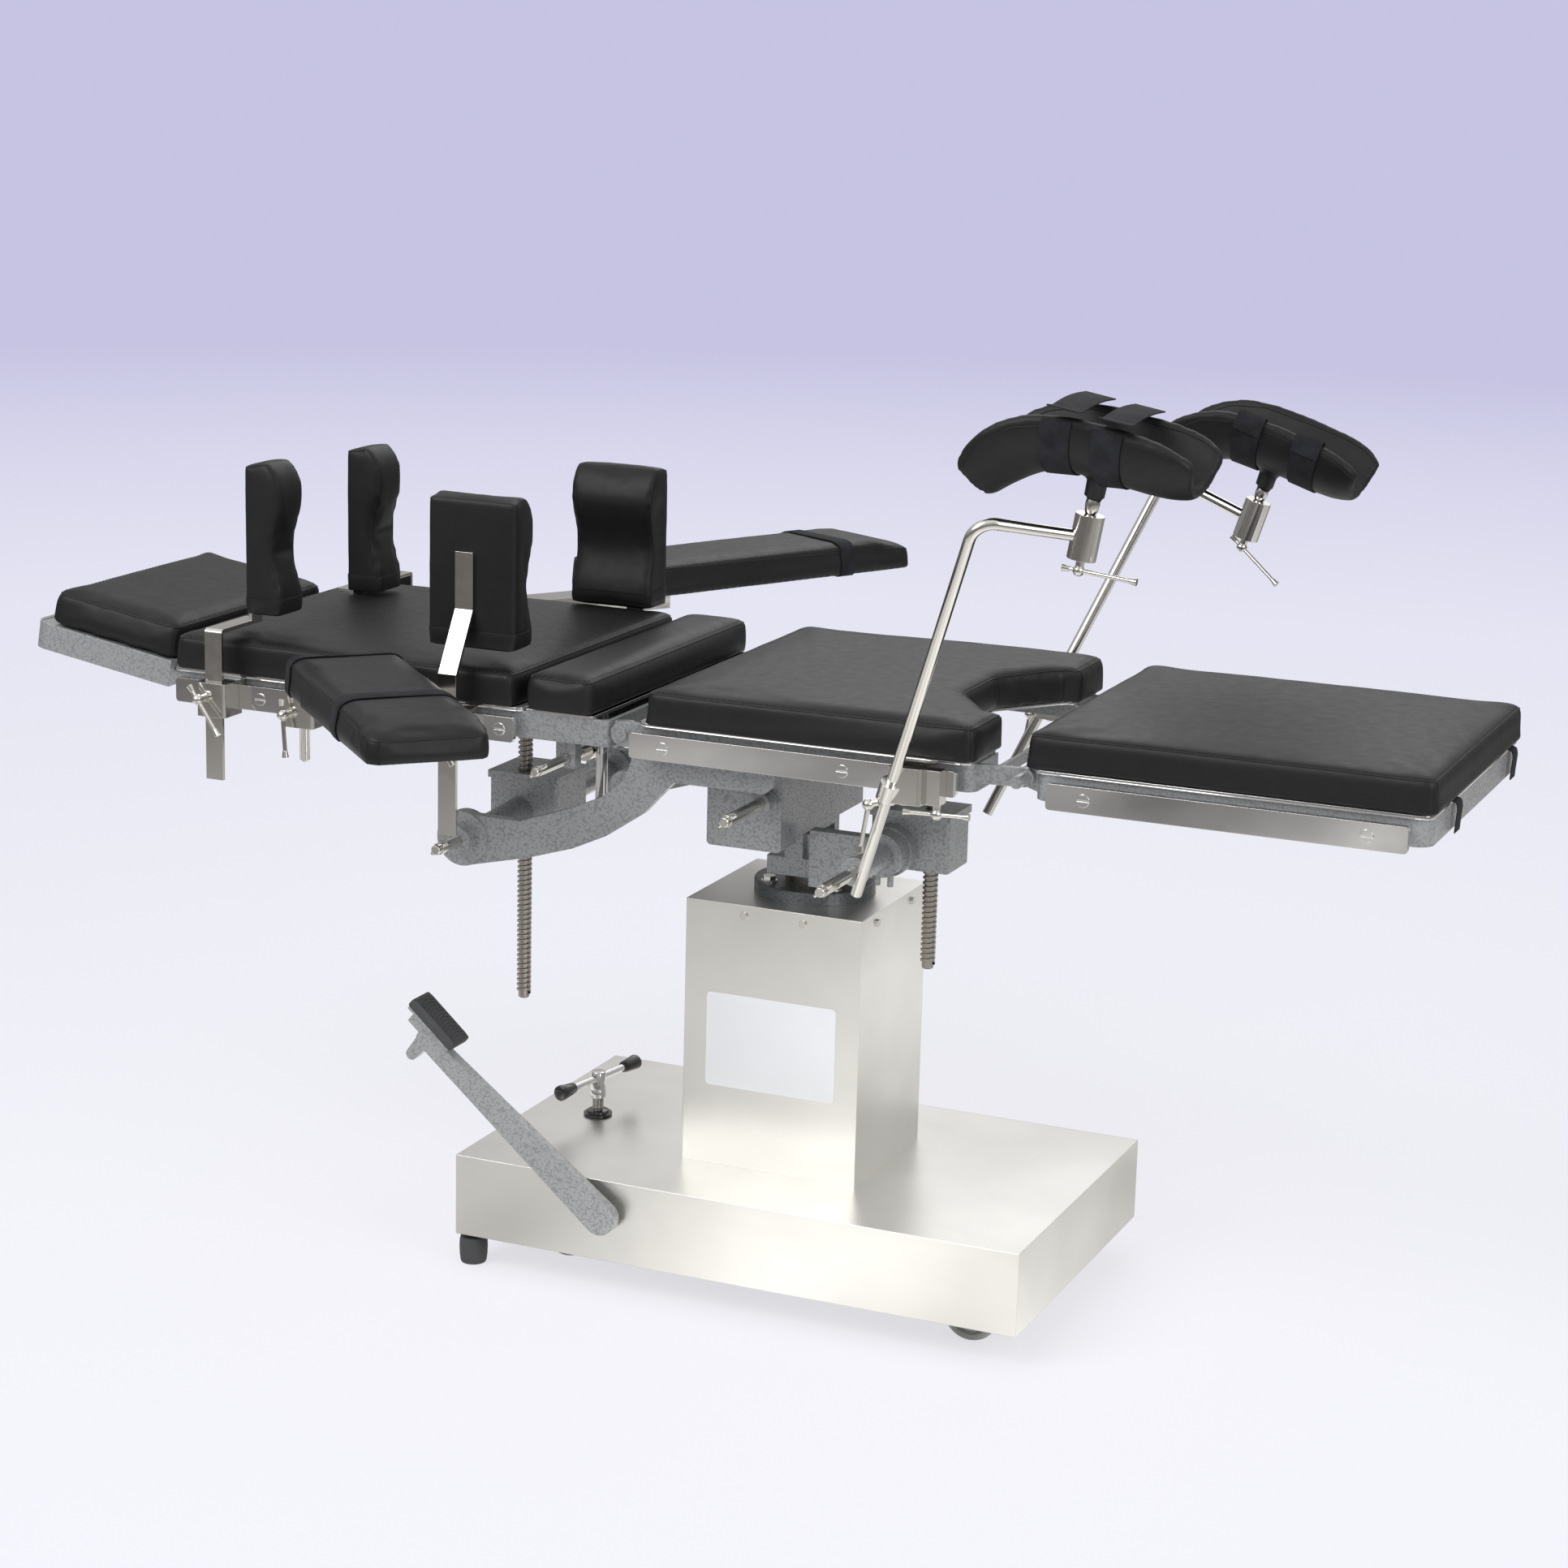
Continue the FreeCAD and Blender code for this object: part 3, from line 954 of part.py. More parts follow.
def make_rod(name):
    s = SUPPORTS[name]
    low, corner, end = rod_point(s["side"], ROD_LOW_Z), rod_point(s["side"], s["bend_z"]), s["end"]
    down, out = unit(low - corner), unit(end - corner)
    radius = 26.0
    half = math.acos(max(-1, min(1, down.dot(out)))) / 2
    back = radius / math.tan(half)
    a, b = corner + down * back, corner + out * back
    centre = corner + unit(down + out) * (radius / math.sin(half))
    middle = centre + unit(corner - centre) * radius
    arc = Part.Arc(a, middle, b).toShape()
    spine = Part.Wire([Part.LineSegment(low, a).toShape(), arc, Part.LineSegment(b, end).toShape()])
    section = Part.Wire([Part.Circle(low, down, ROD_R).toShape()])
    tube = spine.makePipeShell([section], True, True)
    stem = socket_axis(s["lean"])
    socket = bar(end - stem * (SOCKET_H / 2), end + stem * (SOCKET_H / 2), SOCKET_R)
    hub = end - stem * (SOCKET_H / 2 + 14)
    lever = unit(V(0.97, 0, -0.1) if name == "near" else V(0.75, -0.2, -0.6))
    screw = t_screw(hub, stem, lever, 6.0, 92, 0.78)
    bore = bar(end + stem * 2, end + stem * 60, 6.0 + RUNNING)
    return fused(tube, socket, screw).cut(bore)


def socket_axis(lean):
    angle = math.radians(lean)
    return V(math.sin(angle), 0, math.cos(angle))


BOOT_R, BOOT_WALL = 74.0, 16.0
BOOT_STEM = 70.0
# Along the boot: bottom line x and z from the stem, slope of the axis in degrees, height of the rim
BOOT_STATIONS = ((124, 9, 4, 40), (100, 2, 2, 64), (72, 0, 0, 73), (-45, 0, 0, 73), (-72, -9, -20, 71),
                 (-98, -27, -38, 64), (-122, -50, -42, 46))


def boot_section(x, z, slope, rim):
    # A padded trough's section: an outer and an inner arc, joined by the rims.
    half = math.acos(1 - min(rim, BOOT_R) / BOOT_R)
    centre = V(0, 0, BOOT_R)

    def on(radius, angle):
        return centre + V(0, radius * math.sin(angle), -radius * math.cos(angle))

    inner_r = BOOT_R - BOOT_WALL
    outer = Part.Arc(on(BOOT_R, -half), on(BOOT_R, 0), on(BOOT_R, half)).toShape()
    right = Part.makeLine(on(BOOT_R, half), on(inner_r, half))
    inner = Part.Arc(on(inner_r, half), on(inner_r, 0), on(inner_r, -half)).toShape()
    left = Part.makeLine(on(inner_r, -half), on(BOOT_R, -half))
    wire = Part.Wire([outer, right, inner, left])
    wire.rotate(V(0, 0, 0), Y_DIR, slope)
    wire.translate(V(x, 0, z))
    return wire


def make_boot(name):
    # A padded trough for the calf that bends down over the knee, on its stem.
    s = SUPPORTS[name]
    shell = Part.makeLoft([boot_section(*station) for station in BOOT_STATIONS], True, False)
    boss = z_bar(0, 0, 12, -22, 6)
    cone = bar(V(0, 0, -41), V(0, 0, -22), 6, 8.5)
    stem = z_bar(0, 0, 6, 4 - BOOT_STEM, -41)
    carrier = fused(boss, cone, stem)
    whole = []
    place = s["end"] + socket_axis(s["lean"]) * BOOT_STEM
    for piece in (shell.cut(boss), carrier):
        moved = turned(piece, s["lean"], V(0, 0, 0), Y_DIR)
        moved.translate(place)
        whole.append(moved)
    return group(*whole)


def leg_clamp(side):
    # A rail clamp with a round boss and the eye that the rod slides through.
    body = rail_clamp(ROD_CLAMP_X + 22)
    boss = y_bar(ROD_CLAMP_X + 18, 752, 23, -CLAMP_Y_OUT + 8, -RAIL_FACE - SLIDING)
    jaw = block(ROD_CLAMP_X + 44, ROD_CLAMP_X + 64, -RAIL_FACE - 24, -RAIL_FACE - SLIDING, 732, 776)
    eye_centre = rod_point(-1, ROD_CLAMP_Z)
    down = rod_direction(-1)
    eye = bar(eye_centre - down * 13, eye_centre + down * 13, 14)
    neck = bar(eye_centre, V(ROD_CLAMP_X + 20, -RAIL_FACE - 12, 750), 9)
    body = fused(body, boss, jaw, eye, neck)
    body = body.cut(bar(eye_centre - down * 60, eye_centre + down * 60, ROD_R + RUNNING))
    lever = t_screw(eye_centre + V(-24, -8, -19), unit(V(1, 0.15, 0.35)), unit(V(-0.16, 0.02, -0.98)), 6.5, 66, 0.95)
    under = t_screw(V(ROD_CLAMP_X + 58, -RAIL_FACE - 16, 720), Z_DIR, unit(V(1, 0, 0.03)), 6.5, 86, 0.5)
    pieces = [body.cut(lever).cut(under), lever, under]
    if side > 0:
        pieces = [far_side(p) for p in pieces]
    return pieces


def save(name, shape):
    shape.exportStep("parts/" + name + ".step")


def main():
    os.makedirs("parts", exist_ok=True)
    nodes = {
        "base_cover": make_base_cover(),
        "base_frame": make_base_frame(),
        "column_cover": make_column_cover(),
        "column_fasteners": make_column_fasteners(),
        "lift_cylinder": make_lift_cylinder(),
        "pump": make_pump(),
        "pedal_arm": make_pedal_arm(),
        "pedal_pad": make_pedal_pad(),
        "wheel_head_near": make_wheel(HEAD_WHEEL_X, -HEAD_WHEEL_Y),
        "wheel_head_far": make_wheel(HEAD_WHEEL_X, HEAD_WHEEL_Y),
        "wheel_foot_near": make_wheel(FOOT_WHEEL_X, -BEAM_Y),
        "wheel_foot_far": make_wheel(FOOT_WHEEL_X, BEAM_Y),
        "castor_fork_near": make_swivel_fork(-HEAD_WHEEL_Y),
        "castor_fork_far": make_swivel_fork(HEAD_WHEEL_Y),
        "foot_bar": make_foot_bar(),
        "rubber_feet": make_rubber_feet(),
        "brake_handle": make_brake_handle(),
        "brake_knobs": make_brake_knobs(),
        "ram": make_ram(),
        "saddle": make_saddle(),
        "foot_gearbox": make_foot_gearbox(),
        "foot_crank": cross_pin_shaft(TRUNNION_X, TRUNNION_Z, FOOT_CRANK_Y, FGB_Y0 + 10, CRANK_R),
        "foot_screw": lead_screw(FOOT_SCREW_X, SCREW_Y, FOOT_SCREW_Z0, FOOT_SCREW_PIN_Z, 30),
        "cradle": make_cradle(),
        "seat_frame": make_seat_frame(),
        "seat_pad": make_seat_pad(),
        "seat_rails": make_rails(SEAT_X0, SEAT_X1 - 17, (SEAT_X0 + RAIL_SCREW_INSET, 150.0)),
        "tilt_gearbox": make_tilt_gearbox(),
        "tilt_crank": cross_pin_shaft(ROLL_CRANK_X, ROLL_CRANK_Z, TILT_CRANK_Y, BOX_Y1 - 15, CRANK_R),
        "actuator_arms": make_actuator_arms(),
        "back_gearbox": make_back_gearbox(),
        "back_crank": cross_pin_shaft(BACK_SHAFT_X, BACK_SHAFT_Z, BACK_CRANK_Y, BGB_Y0 + 8, CRANK_R),
        "back_screw": lead_screw(BACK_SHAFT_X, BACK_SCREW_Y, BACK_SCREW_Z0, BACK_SCREW_PIN_Z, 15),
        "back_frame": make_back_frame(),
        "back_pad": cushion(BACK_PAD_X0, BACK_PAD_X1, BACK_PAD_HALF, PAD_BOTTOM, PAD_TOP),
        "back_rails": make_rails(BACK_X0 + 16, KIDNEY_X0 - 8, (BACK_X0 + 148, KIDNEY_X0 - 28)),
        "kidney_pad": cushion(KIDNEY_X0, KIDNEY_X1, BACK_PAD_HALF, PAD_BOTTOM, PAD_TOP),
        "kidney_bridge": make_kidney_bridge(),
        "kidney_crank": make_kidney_crank(),
        "leg_frame": make_leg_frame(),
        "leg_pad": cushion(LEG_PAD_X0, LEG_PAD_X1, LEG_PAD_HALF, PAD_BOTTOM, PAD_TOP),
        "leg_rails": make_rails(LEG_X0 + 25, LEG_X1 - 21, (LEG_X0 + 73, LEG_X1 - 70), LEG_FRAME_HALF),
        "head_frame": make_head_frame(),
        "head_pad": make_head_pad(),
        "leg_support_clamps": group(*leg_clamp(-1), *leg_clamp(1)),
        "leg_rod_near": make_rod("near"),
        "leg_rod_far": make_rod("far"),
        "leg_boot_near": make_boot("near"),
        "leg_boot_far": make_boot("far"),
        "back_rail_clamps": make_back_rail_clamps(),
        "arm_board_near": arm_board(NEAR_BOARD_X, -1, NEAR_BOARD_DIR, (NEAR_BOARD_X + 77, -RAIL_FACE - 56), 440, 798),
        "arm_board_far": arm_board(FAR_BOARD_X, 1, FAR_BOARD_DIR, (FAR_BOARD_X + 88, RAIL_FACE + 126), 552, 813),
    }
    nodes.update(make_supports())
    for name, shape in nodes.items():
        if not shape.isValid():
            print("not valid:", name)
        save(name, shape)
    print(len(nodes), "nodes written")


main()
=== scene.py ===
"""Looks of a sectioned operating table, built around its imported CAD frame.

Lengths are written in millimetres in the CAD's own frame: +X is the foot end, -Y the operator's side and
+Z is up.
Profiles of turned pieces are rows of (height along the axis, radius).
"""

import json
import logging
import math
from dataclasses import dataclass, field
from enum import Enum
from typing import Callable, Sequence

import bpy
from mathutils import Matrix, Vector, noise

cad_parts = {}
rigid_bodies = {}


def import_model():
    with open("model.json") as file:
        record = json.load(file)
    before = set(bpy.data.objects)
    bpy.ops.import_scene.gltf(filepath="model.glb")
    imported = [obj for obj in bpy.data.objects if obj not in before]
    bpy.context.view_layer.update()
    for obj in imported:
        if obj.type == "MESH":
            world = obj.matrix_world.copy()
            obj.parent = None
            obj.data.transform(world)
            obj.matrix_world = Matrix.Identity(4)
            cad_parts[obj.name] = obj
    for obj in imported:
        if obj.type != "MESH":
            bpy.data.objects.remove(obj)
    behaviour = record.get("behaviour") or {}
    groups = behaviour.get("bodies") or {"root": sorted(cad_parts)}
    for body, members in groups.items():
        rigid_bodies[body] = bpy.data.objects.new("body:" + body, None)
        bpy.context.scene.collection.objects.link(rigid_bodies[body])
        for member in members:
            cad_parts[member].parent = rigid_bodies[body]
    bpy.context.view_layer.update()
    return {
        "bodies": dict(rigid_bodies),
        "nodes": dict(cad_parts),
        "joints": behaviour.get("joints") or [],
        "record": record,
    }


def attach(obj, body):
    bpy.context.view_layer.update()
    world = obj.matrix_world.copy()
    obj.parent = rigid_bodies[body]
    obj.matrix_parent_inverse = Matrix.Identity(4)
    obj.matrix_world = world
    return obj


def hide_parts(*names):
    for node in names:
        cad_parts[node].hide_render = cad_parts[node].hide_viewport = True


log = logging.getLogger("operating_table")

MM = 0.001
Points = Sequence[Vector]
Outline = list[tuple[float, float]]


def mm(x: float, y: float, z: float) -> Vector:
    """Returns a point given in millimetres as a vector in metres."""
    return Vector((x, y, z)) * MM


class Side(Enum):
    """The operator's side of the table and the one opposite."""

    NEAR = -1
    FAR = 1

    @property
    def word(self) -> str:
        """The side's name as piece names use it."""
        return self.name.lower()


# Bench: selecting, applying and shaping


def only(obj: bpy.types.Object) -> None:
    """Makes obj the one selected and active object."""
    bpy.ops.object.select_all(action="DESELECT")
    obj.select_set(True)
    bpy.context.view_layer.objects.active = obj


def start_edit(obj: bpy.types.Object, everything: bool = True) -> None:
    """Opens obj in edit mode.

    Args:
        obj: The mesh object to edit.
        everything: Whether all of it is selected.
    """
    only(obj)
    bpy.ops.object.mode_set(mode="EDIT")
    bpy.ops.mesh.select_all(action="SELECT" if everything else "DESELECT")


def end_edit() -> None:
    """Goes back to object mode."""
    bpy.ops.object.mode_set(mode="OBJECT")


def settle(obj: bpy.types.Object) -> bpy.types.Object:
    """Moves obj's place, turn and size into its mesh."""
    only(obj)
    bpy.ops.object.transform_apply(location=True, rotation=True, scale=True)
    return obj


def modify(obj: bpy.types.Object, kind: str, **values: object) -> None:
    """Adds a modifier to obj and applies it.

    Args:
        obj: The object to change.
        kind: The modifier's type.
        **values: Its settings.
    """
    modifier = obj.modifiers.new(kind.title(), kind)
    for key, value in values.items():
        setattr(modifier, key, value)
    only(obj)
    bpy.ops.object.modifier_apply(modifier=modifier.name)


def smooth(obj: bpy.types.Object, degrees: float = 35.0) -> bpy.types.Object:
    """Shades obj smooth, apart from edges sharper than the angle given."""
    only(obj)
    bpy.ops.object.shade_smooth_by_angle(angle=math.radians(degrees))
    return obj


def outward(obj: bpy.types.Object) -> bpy.types.Object:
    """Merges doubles and turns all faces outwards."""
    start_edit(obj)
    bpy.ops.mesh.remove_doubles(threshold=0.01 * MM)
    bpy.ops.mesh.normals_make_consistent(inside=False)
    end_edit()
    return obj


def linked(name: str, data: bpy.types.ID) -> bpy.types.Object:
    """Makes an object from its data and puts it in the scene."""
    obj = bpy.data.objects.new(name, data)
    bpy.context.scene.collection.objects.link(obj)
    return obj


def joined(name: str, parts: Sequence[bpy.types.Object]) -> bpy.types.Object:
    """Joins several objects into the first one and names it."""
    bpy.ops.object.select_all(action="DESELECT")
    for part in parts:
        part.select_set(True)
    bpy.context.view_layer.objects.active = parts[0]
    if len(parts) > 1:
        bpy.ops.object.join()
    parts[0].name = name
    parts[0].data.name = name
    return parts[0]


def moved(x: float, y: float, z: float = 0.0) -> Matrix:
    """Returns the matrix that moves the origin to a point given in millimetres."""
    return Matrix.Translation(mm(x, y, z))


def facing(start: Vector, direction: Vector) -> Matrix:
    """Returns the matrix that puts the origin at start and turns +Z along direction."""
    return Matrix.Translation(start) @ direction.to_track_quat("Z", "Y").to_matrix().to_4x4()


def block(name: str, low: Vector, high: Vector, bevel: float = 1.0, segments: int = 3,
          place: Matrix | None = None) -> bpy.types.Object:
    """Makes a box with rounded edges.

    Args:
        name: The piece's name.
        low: Its lowest corner, in metres.
        high: Its highest corner.
        bevel: The edges' radius in millimetres.
        segments: Faces across each rounding.
        place: A matrix applied after shaping.

    Returns:
        The new object.
    """
    bpy.ops.object.select_all(action="DESELECT")
    bpy.ops.mesh.primitive_cube_add(size=1, location=(low + high) / 2)
    obj = bpy.context.object
    obj.name = name
    obj.scale = high - low
    settle(obj)
    if bevel:
        modify(obj, "BEVEL", width=bevel * MM, segments=segments, limit_method="ANGLE")
    if place is not None:
        obj.data.transform(place)
    return smooth(obj)


def turned(name: str, stations: Sequence[tuple[float, float]], place: Matrix,
           sides: int = 40) -> bpy.types.Object:
    """Makes a turned piece from a disc that is extruded and scaled station by station.

    Args:
        name: The piece's name.
        stations: Height along +Z and radius, both in millimetres, from one end to the other.
        place: Where the piece's own origin and +Z axis go.
        sides: Faces round the piece.

    Returns:
        The new object.
    """
    bpy.ops.object.select_all(action="DESELECT")
    height, radius = stations[0]
    bpy.ops.mesh.primitive_circle_add(vertices=sides, radius=radius * MM, fill_type="NGON",
                                      location=(0, 0, height * MM))
    obj = bpy.context.object
    obj.name = name
    settle(obj)
    start_edit(obj)
    for next_height, next_radius in stations[1:]:
        rise = (next_height - height) * MM
        bpy.ops.mesh.extrude_region_move(TRANSFORM_OT_translate={"value": (0, 0, rise)})
        share = next_radius / radius
        bpy.ops.transform.resize(value=(share, share, 1), center_override=(0, 0, next_height * MM))
        height, radius = next_height, next_radius
    bpy.ops.mesh.select_all(action="SELECT")
    bpy.ops.mesh.remove_doubles(threshold=0.001 * MM)
    bpy.ops.mesh.normals_make_consistent(inside=False)
    end_edit()
    obj.data.transform(place)
    return smooth(obj)


def raw_mesh(name: str, points: Points, edges: list, faces: list) -> bpy.types.Object:
    """Makes an object straight from points, edges and faces."""
    mesh = bpy.data.meshes.new(name)
    mesh.from_pydata([tuple(p) for p in points], edges, faces)
    return linked(name, mesh)


def polyline(name: str, points: Points, closed: bool) -> bpy.types.Object:
    """Makes a mesh of edges only, through the points in turn."""
    count = len(points)
    edges = [(i, (i + 1) % count) for i in range(count if closed else count - 1)]
    return raw_mesh(name, points, edges, [])


def even(points: Points, step: float, closed: bool) -> list[Vector]:
    """Returns points at an even spacing along the runs through the points given.

    Args:
        points: The corners of the line.
        step: The spacing wanted, in millimetres.
        closed: Whether the line comes back to its start.
    """
    corners = list(points) + ([points[0]] if closed else [])
    lengths = [(b - a).length for a, b in zip(corners, corners[1:])]
    total = sum(lengths)
    count = max(2, round(total / (step * MM)))
    found = []
    run, done = 0, 0.0
    for i in range(count + (0 if closed else 1)):
        want = total * i / count
        while run < len(lengths) - 1 and done + lengths[run] < want:
            done += lengths[run]
            run += 1
        share = (want - done) / lengths[run] if lengths[run] else 0.0
        found.append(corners[run].lerp(corners[run + 1], min(1.0, share)))
    return found


def tube(name: str, lines: Sequence[Points], radius: float, closed: bool = False,
         sides: int = 2) -> bpy.types.Object:
    """Makes round wires through the lines given.

    Args:
        name: The piece's name.
        lines: One list of points for each wire.
        radius: Their radius in millimetres.
        closed: Whether each line is a ring.
        sides: Bevel resolution of the wire.

    Returns:
        The new mesh object.
    """
    curve = bpy.data.curves.new(name, "CURVE")
    curve.dimensions = "3D"
    curve.bevel_depth = radius * MM
    curve.bevel_resolution = sides
    curve.use_fill_caps = True
    for line in lines:
        spline = curve.splines.new("POLY")
        spline.points.add(len(line) - 1)
        for target, point in zip(spline.points, line):
            target.co = (*point, 1)
        spline.use_cyclic_u = closed
    only(linked(name, curve))
    bpy.ops.object.convert(target="MESH")
    return smooth(bpy.context.object, 60)


def on_surface(points: Points, onto: bpy.types.Object, proud: float, closed: bool) -> list[Vector]:
    """Returns the points laid on the surface of a piece.

    Args:
        points: Points near the surface.
        onto: The piece they are laid on.
        proud: How far outside the surface they end, in millimetres.
        closed: Whether the line is a ring.
    """
    guide = polyline("guide", points, closed)
    modify(guide, "SHRINKWRAP", target=onto, offset=proud * MM, wrap_mode="OUTSIDE_SURFACE")
    found = [v.co.copy() for v in guide.data.vertices]
    bpy.data.objects.remove(guide)
    return found


def ribbon(name: str, first: Points, second: Points, thick: float, closed: bool = False,
           outside: float = 1.0) -> bpy.types.Object:
    """Makes a flat band between two edges of equal point count.

    Args:
        name: The piece's name.
        first: One edge of the band.
        second: The other edge.
        thick: Its thickness in millimetres.
        closed: Whether the band is a ring.
        outside: 1 to grow outwards from the edges, -1 inwards.

    Returns:
        The new object.
    """
    count = len(first)
    last = count if closed else count - 1
    faces = [(i, (i + 1) % count, count + (i + 1) % count, count + i) for i in range(last)]
    obj = raw_mesh(name, [*first, *second], [], faces)
    modify(obj, "SOLIDIFY", thickness=thick * MM, offset=outside, use_even_offset=True)
    modify(obj, "BEVEL", width=0.25 * thick * MM, segments=2, limit_method="ANGLE",
           angle_limit=math.radians(60))
    return smooth(obj, 50)


def cad_copy(node: str, name: str, source: dict) -> bpy.types.Object:
    """Returns a merged copy of a CAD node's mesh as a new piece.

    Args:
        node: The CAD node.
        name: The copy's name.
        source: The frame's nodes by name.
    """
    obj = linked(name, source[node].data.copy())
    obj.data.materials.clear()
    start_edit(obj)
    bpy.ops.mesh.remove_doubles(threshold=0.01 * MM)
    end_edit()
    return obj


def loose_parts(obj: bpy.types.Object) -> list[bpy.types.Object]:
    """Splits obj into its separate solids, the largest first."""
    start_edit(obj)
    bpy.ops.mesh.separate(type="LOOSE")
    end_edit()
    parts = list(bpy.context.selected_objects)
    return sorted(parts, key=lambda o: -max(o.dimensions))


# Finishes


class Tree:
    """The nodes of a material or a world, added one after another."""

    def __init__(self, owner: bpy.types.ID) -> None:
        """Opens the nodes of a material or a world."""
        self.owner = owner
        owner.use_nodes = True
        self.nodes = owner.node_tree.nodes
        self.shader = self.nodes.get("Principled BSDF")
        self.coords = self.nodes.new("ShaderNodeTexCoord").outputs
        self.place = self.coords["Object"]

    def put(self, kind: str, settings: dict | None = None, **inputs: object) -> bpy.types.Node:
        """Adds a node.

        Args:
            kind: The node's type, without its ShaderNode prefix.
            settings: Properties of the node.
            **inputs: Values or outputs for its sockets; an underscore stands for a space.

        Returns:
            The new node.
        """
        node = self.nodes.new("ShaderNode" + kind)
        for key, value in (settings or {}).items():
            setattr(node, key, value)
        for key, value in inputs.items():
            self.set(node, key.replace("_", " "), value)
        return node

    def set(self, node: bpy.types.Node, socket: str | int, value: object) -> None:
        """Gives a socket a value, or links an output to it."""
        target = node.inputs[socket]
        if isinstance(value, bpy.types.NodeSocket):
            self.owner.node_tree.links.new(value, target)
        else:
            target.default_value = value

    def scaled(self, x: float, y: float, z: float) -> bpy.types.NodeSocket:
        """Returns Object coordinates scaled along each axis."""
        return self.put("Mapping", Vector=self.place, Scale=(x, y, z)).outputs["Vector"]

    def noise(self, where: bpy.types.NodeSocket, scale: float, detail: float = 3.0) -> bpy.types.NodeSocket:
        """Returns a noise pattern's value."""
        return self.put("TexNoise", Vector=where, Scale=scale, Detail=detail).outputs["Fac"]

    def cells(self, where: bpy.types.NodeSocket, scale: float, soft: float = 0.5) -> bpy.types.NodeSocket:
        """Returns the distance inside a pattern of soft cells."""
        node = self.put("TexVoronoi", {"feature": "SMOOTH_F1"}, Vector=where, Scale=scale, Smoothness=soft)
        return node.outputs["Distance"]

    def span(self, value: bpy.types.NodeSocket, low: float, high: float, start: float = 0.3,
             end: float = 0.7) -> bpy.types.NodeSocket:
        """Maps a pattern between start and end onto the range from low to high."""
        node = self.put("MapRange", Value=value, From_Min=start, From_Max=end, To_Min=low, To_Max=high)
        return node.outputs["Result"]

    def between(self, value: bpy.types.NodeSocket, first: tuple, last: tuple, start: float = 0.32,
                end: float = 0.68) -> bpy.types.NodeSocket:
        """Mixes two colours by a pattern."""
        node = self.put("ValToRGB", Fac=value)
        for stop, place, colour in zip(node.color_ramp.elements, (start, end), (first, last)):
            stop.position = place
            stop.color = (*colour, 1)
        return node.outputs["Color"]

    def per_ray(self, lit: bpy.types.NodeSocket, kind: str, looks: Sequence[tuple]) -> None:
        """Lets some kinds of rays see a colour of their own, and ends the tree.

        Args:
            lit: The shader that every other ray sees.
            kind: The node that gives a colour off.
            looks: Each ray's name, what it sees and how much of that.
        """
        path = self.put("LightPath")
        for ray, colour, amount in looks:
            glow = self.put(kind, Color=colour, Strength=1.0)
            part = self.put("Math", {"operation": "MULTIPLY"})
            self.set(part, 0, path.outputs[ray])
            self.set(part, 1, amount)
            mix = self.put("MixShader", Fac=part.outputs[0])
            self.set(mix, 1, lit)
            self.set(mix, 2, glow.outputs[0])
            lit = mix.outputs[0]
        output = next(n for n in self.nodes if n.bl_idname.startswith("ShaderNodeOutput"))
        self.set(output, "Surface", lit)

    def bump(self, height: bpy.types.NodeSocket, strength: float, depth: float,
             normal: bpy.types.NodeSocket | None = None) -> bpy.types.NodeSocket:
        """Raises a pattern as relief, its depth in millimetres."""
        node = self.put("Bump", Height=height, Strength=strength, Distance=depth * MM)
        if normal is not None:
            self.set(node, "Normal", normal)
        return node.outputs["Normal"]

    def soft_edges(self, radius: float) -> bpy.types.NodeSocket:
        """Rounds edges in shading, their radius in millimetres."""
        return self.put("Bevel", {"samples": 4}, Radius=radius * MM).outputs["Normal"]

    def finish(self, **sockets: object) -> bpy.types.Material:
        """Sets the shader's sockets and returns the material."""
        for key, value in sockets.items():
            self.set(self.shader, key.replace("_", " "), value)
        return self.owner


def shade(colour: tuple, factor: float) -> tuple:
    """Returns a colour made lighter or darker."""
    return tuple(min(1.0, c * factor) for c in colour)


@dataclass(frozen=True)
class Leather:
    """Black leatherette with a fine grain."""

    name: str
    colour: tuple = (0.0105, 0.0105, 0.0112)
    rough: float = 0.46

    def build(self) -> bpy.types.Material:
        """Returns the finish's material."""
        t = Tree(bpy.data.materials.new(self.name))
        clouds = t.noise(t.place, 7.0, 4)
        grain = t.cells(t.place, 820.0, 0.35)
        creases = t.noise(t.place, 34.0, 3)
        low = t.bump(creases, 0.08, 0.8)
        fine = t.bump(grain, 0.2, 0.22, low)
        return t.finish(Base_Color=t.between(clouds, shade(self.colour, 0.85), shade(self.colour, 1.15)),
                        Roughness=t.span(t.noise(t.place, 60.0, 3), self.rough - 0.03, self.rough + 0.04),
                        Normal=fine, Specular_IOR_Level=0.3)


@dataclass(frozen=True)
class Metal:
    """Bare metal: polished, plated, brushed or cut."""

    name: str
    colour: tuple
    rough: float
    spread: float = 0.04
    grain: tuple = (60.0, 60.0, 60.0)
    relief: float = 0.02
    edge: float = 0.8

    def build(self) -> bpy.types.Material:
        """Returns the finish's material."""
        t = Tree(bpy.data.materials.new(self.name))
        streaks = t.noise(t.scaled(*self.grain), 1.0, 5)
        clouds = t.noise(t.place, 5.0, 3)
        normal = t.bump(streaks, 0.15, self.relief, t.soft_edges(self.edge))
        return t.finish(Base_Color=t.between(clouds, shade(self.colour, 0.93), shade(self.colour, 1.05)),
                        Roughness=t.span(streaks, self.rough - self.spread, self.rough + self.spread),
                        Metallic=1.0, Normal=normal)


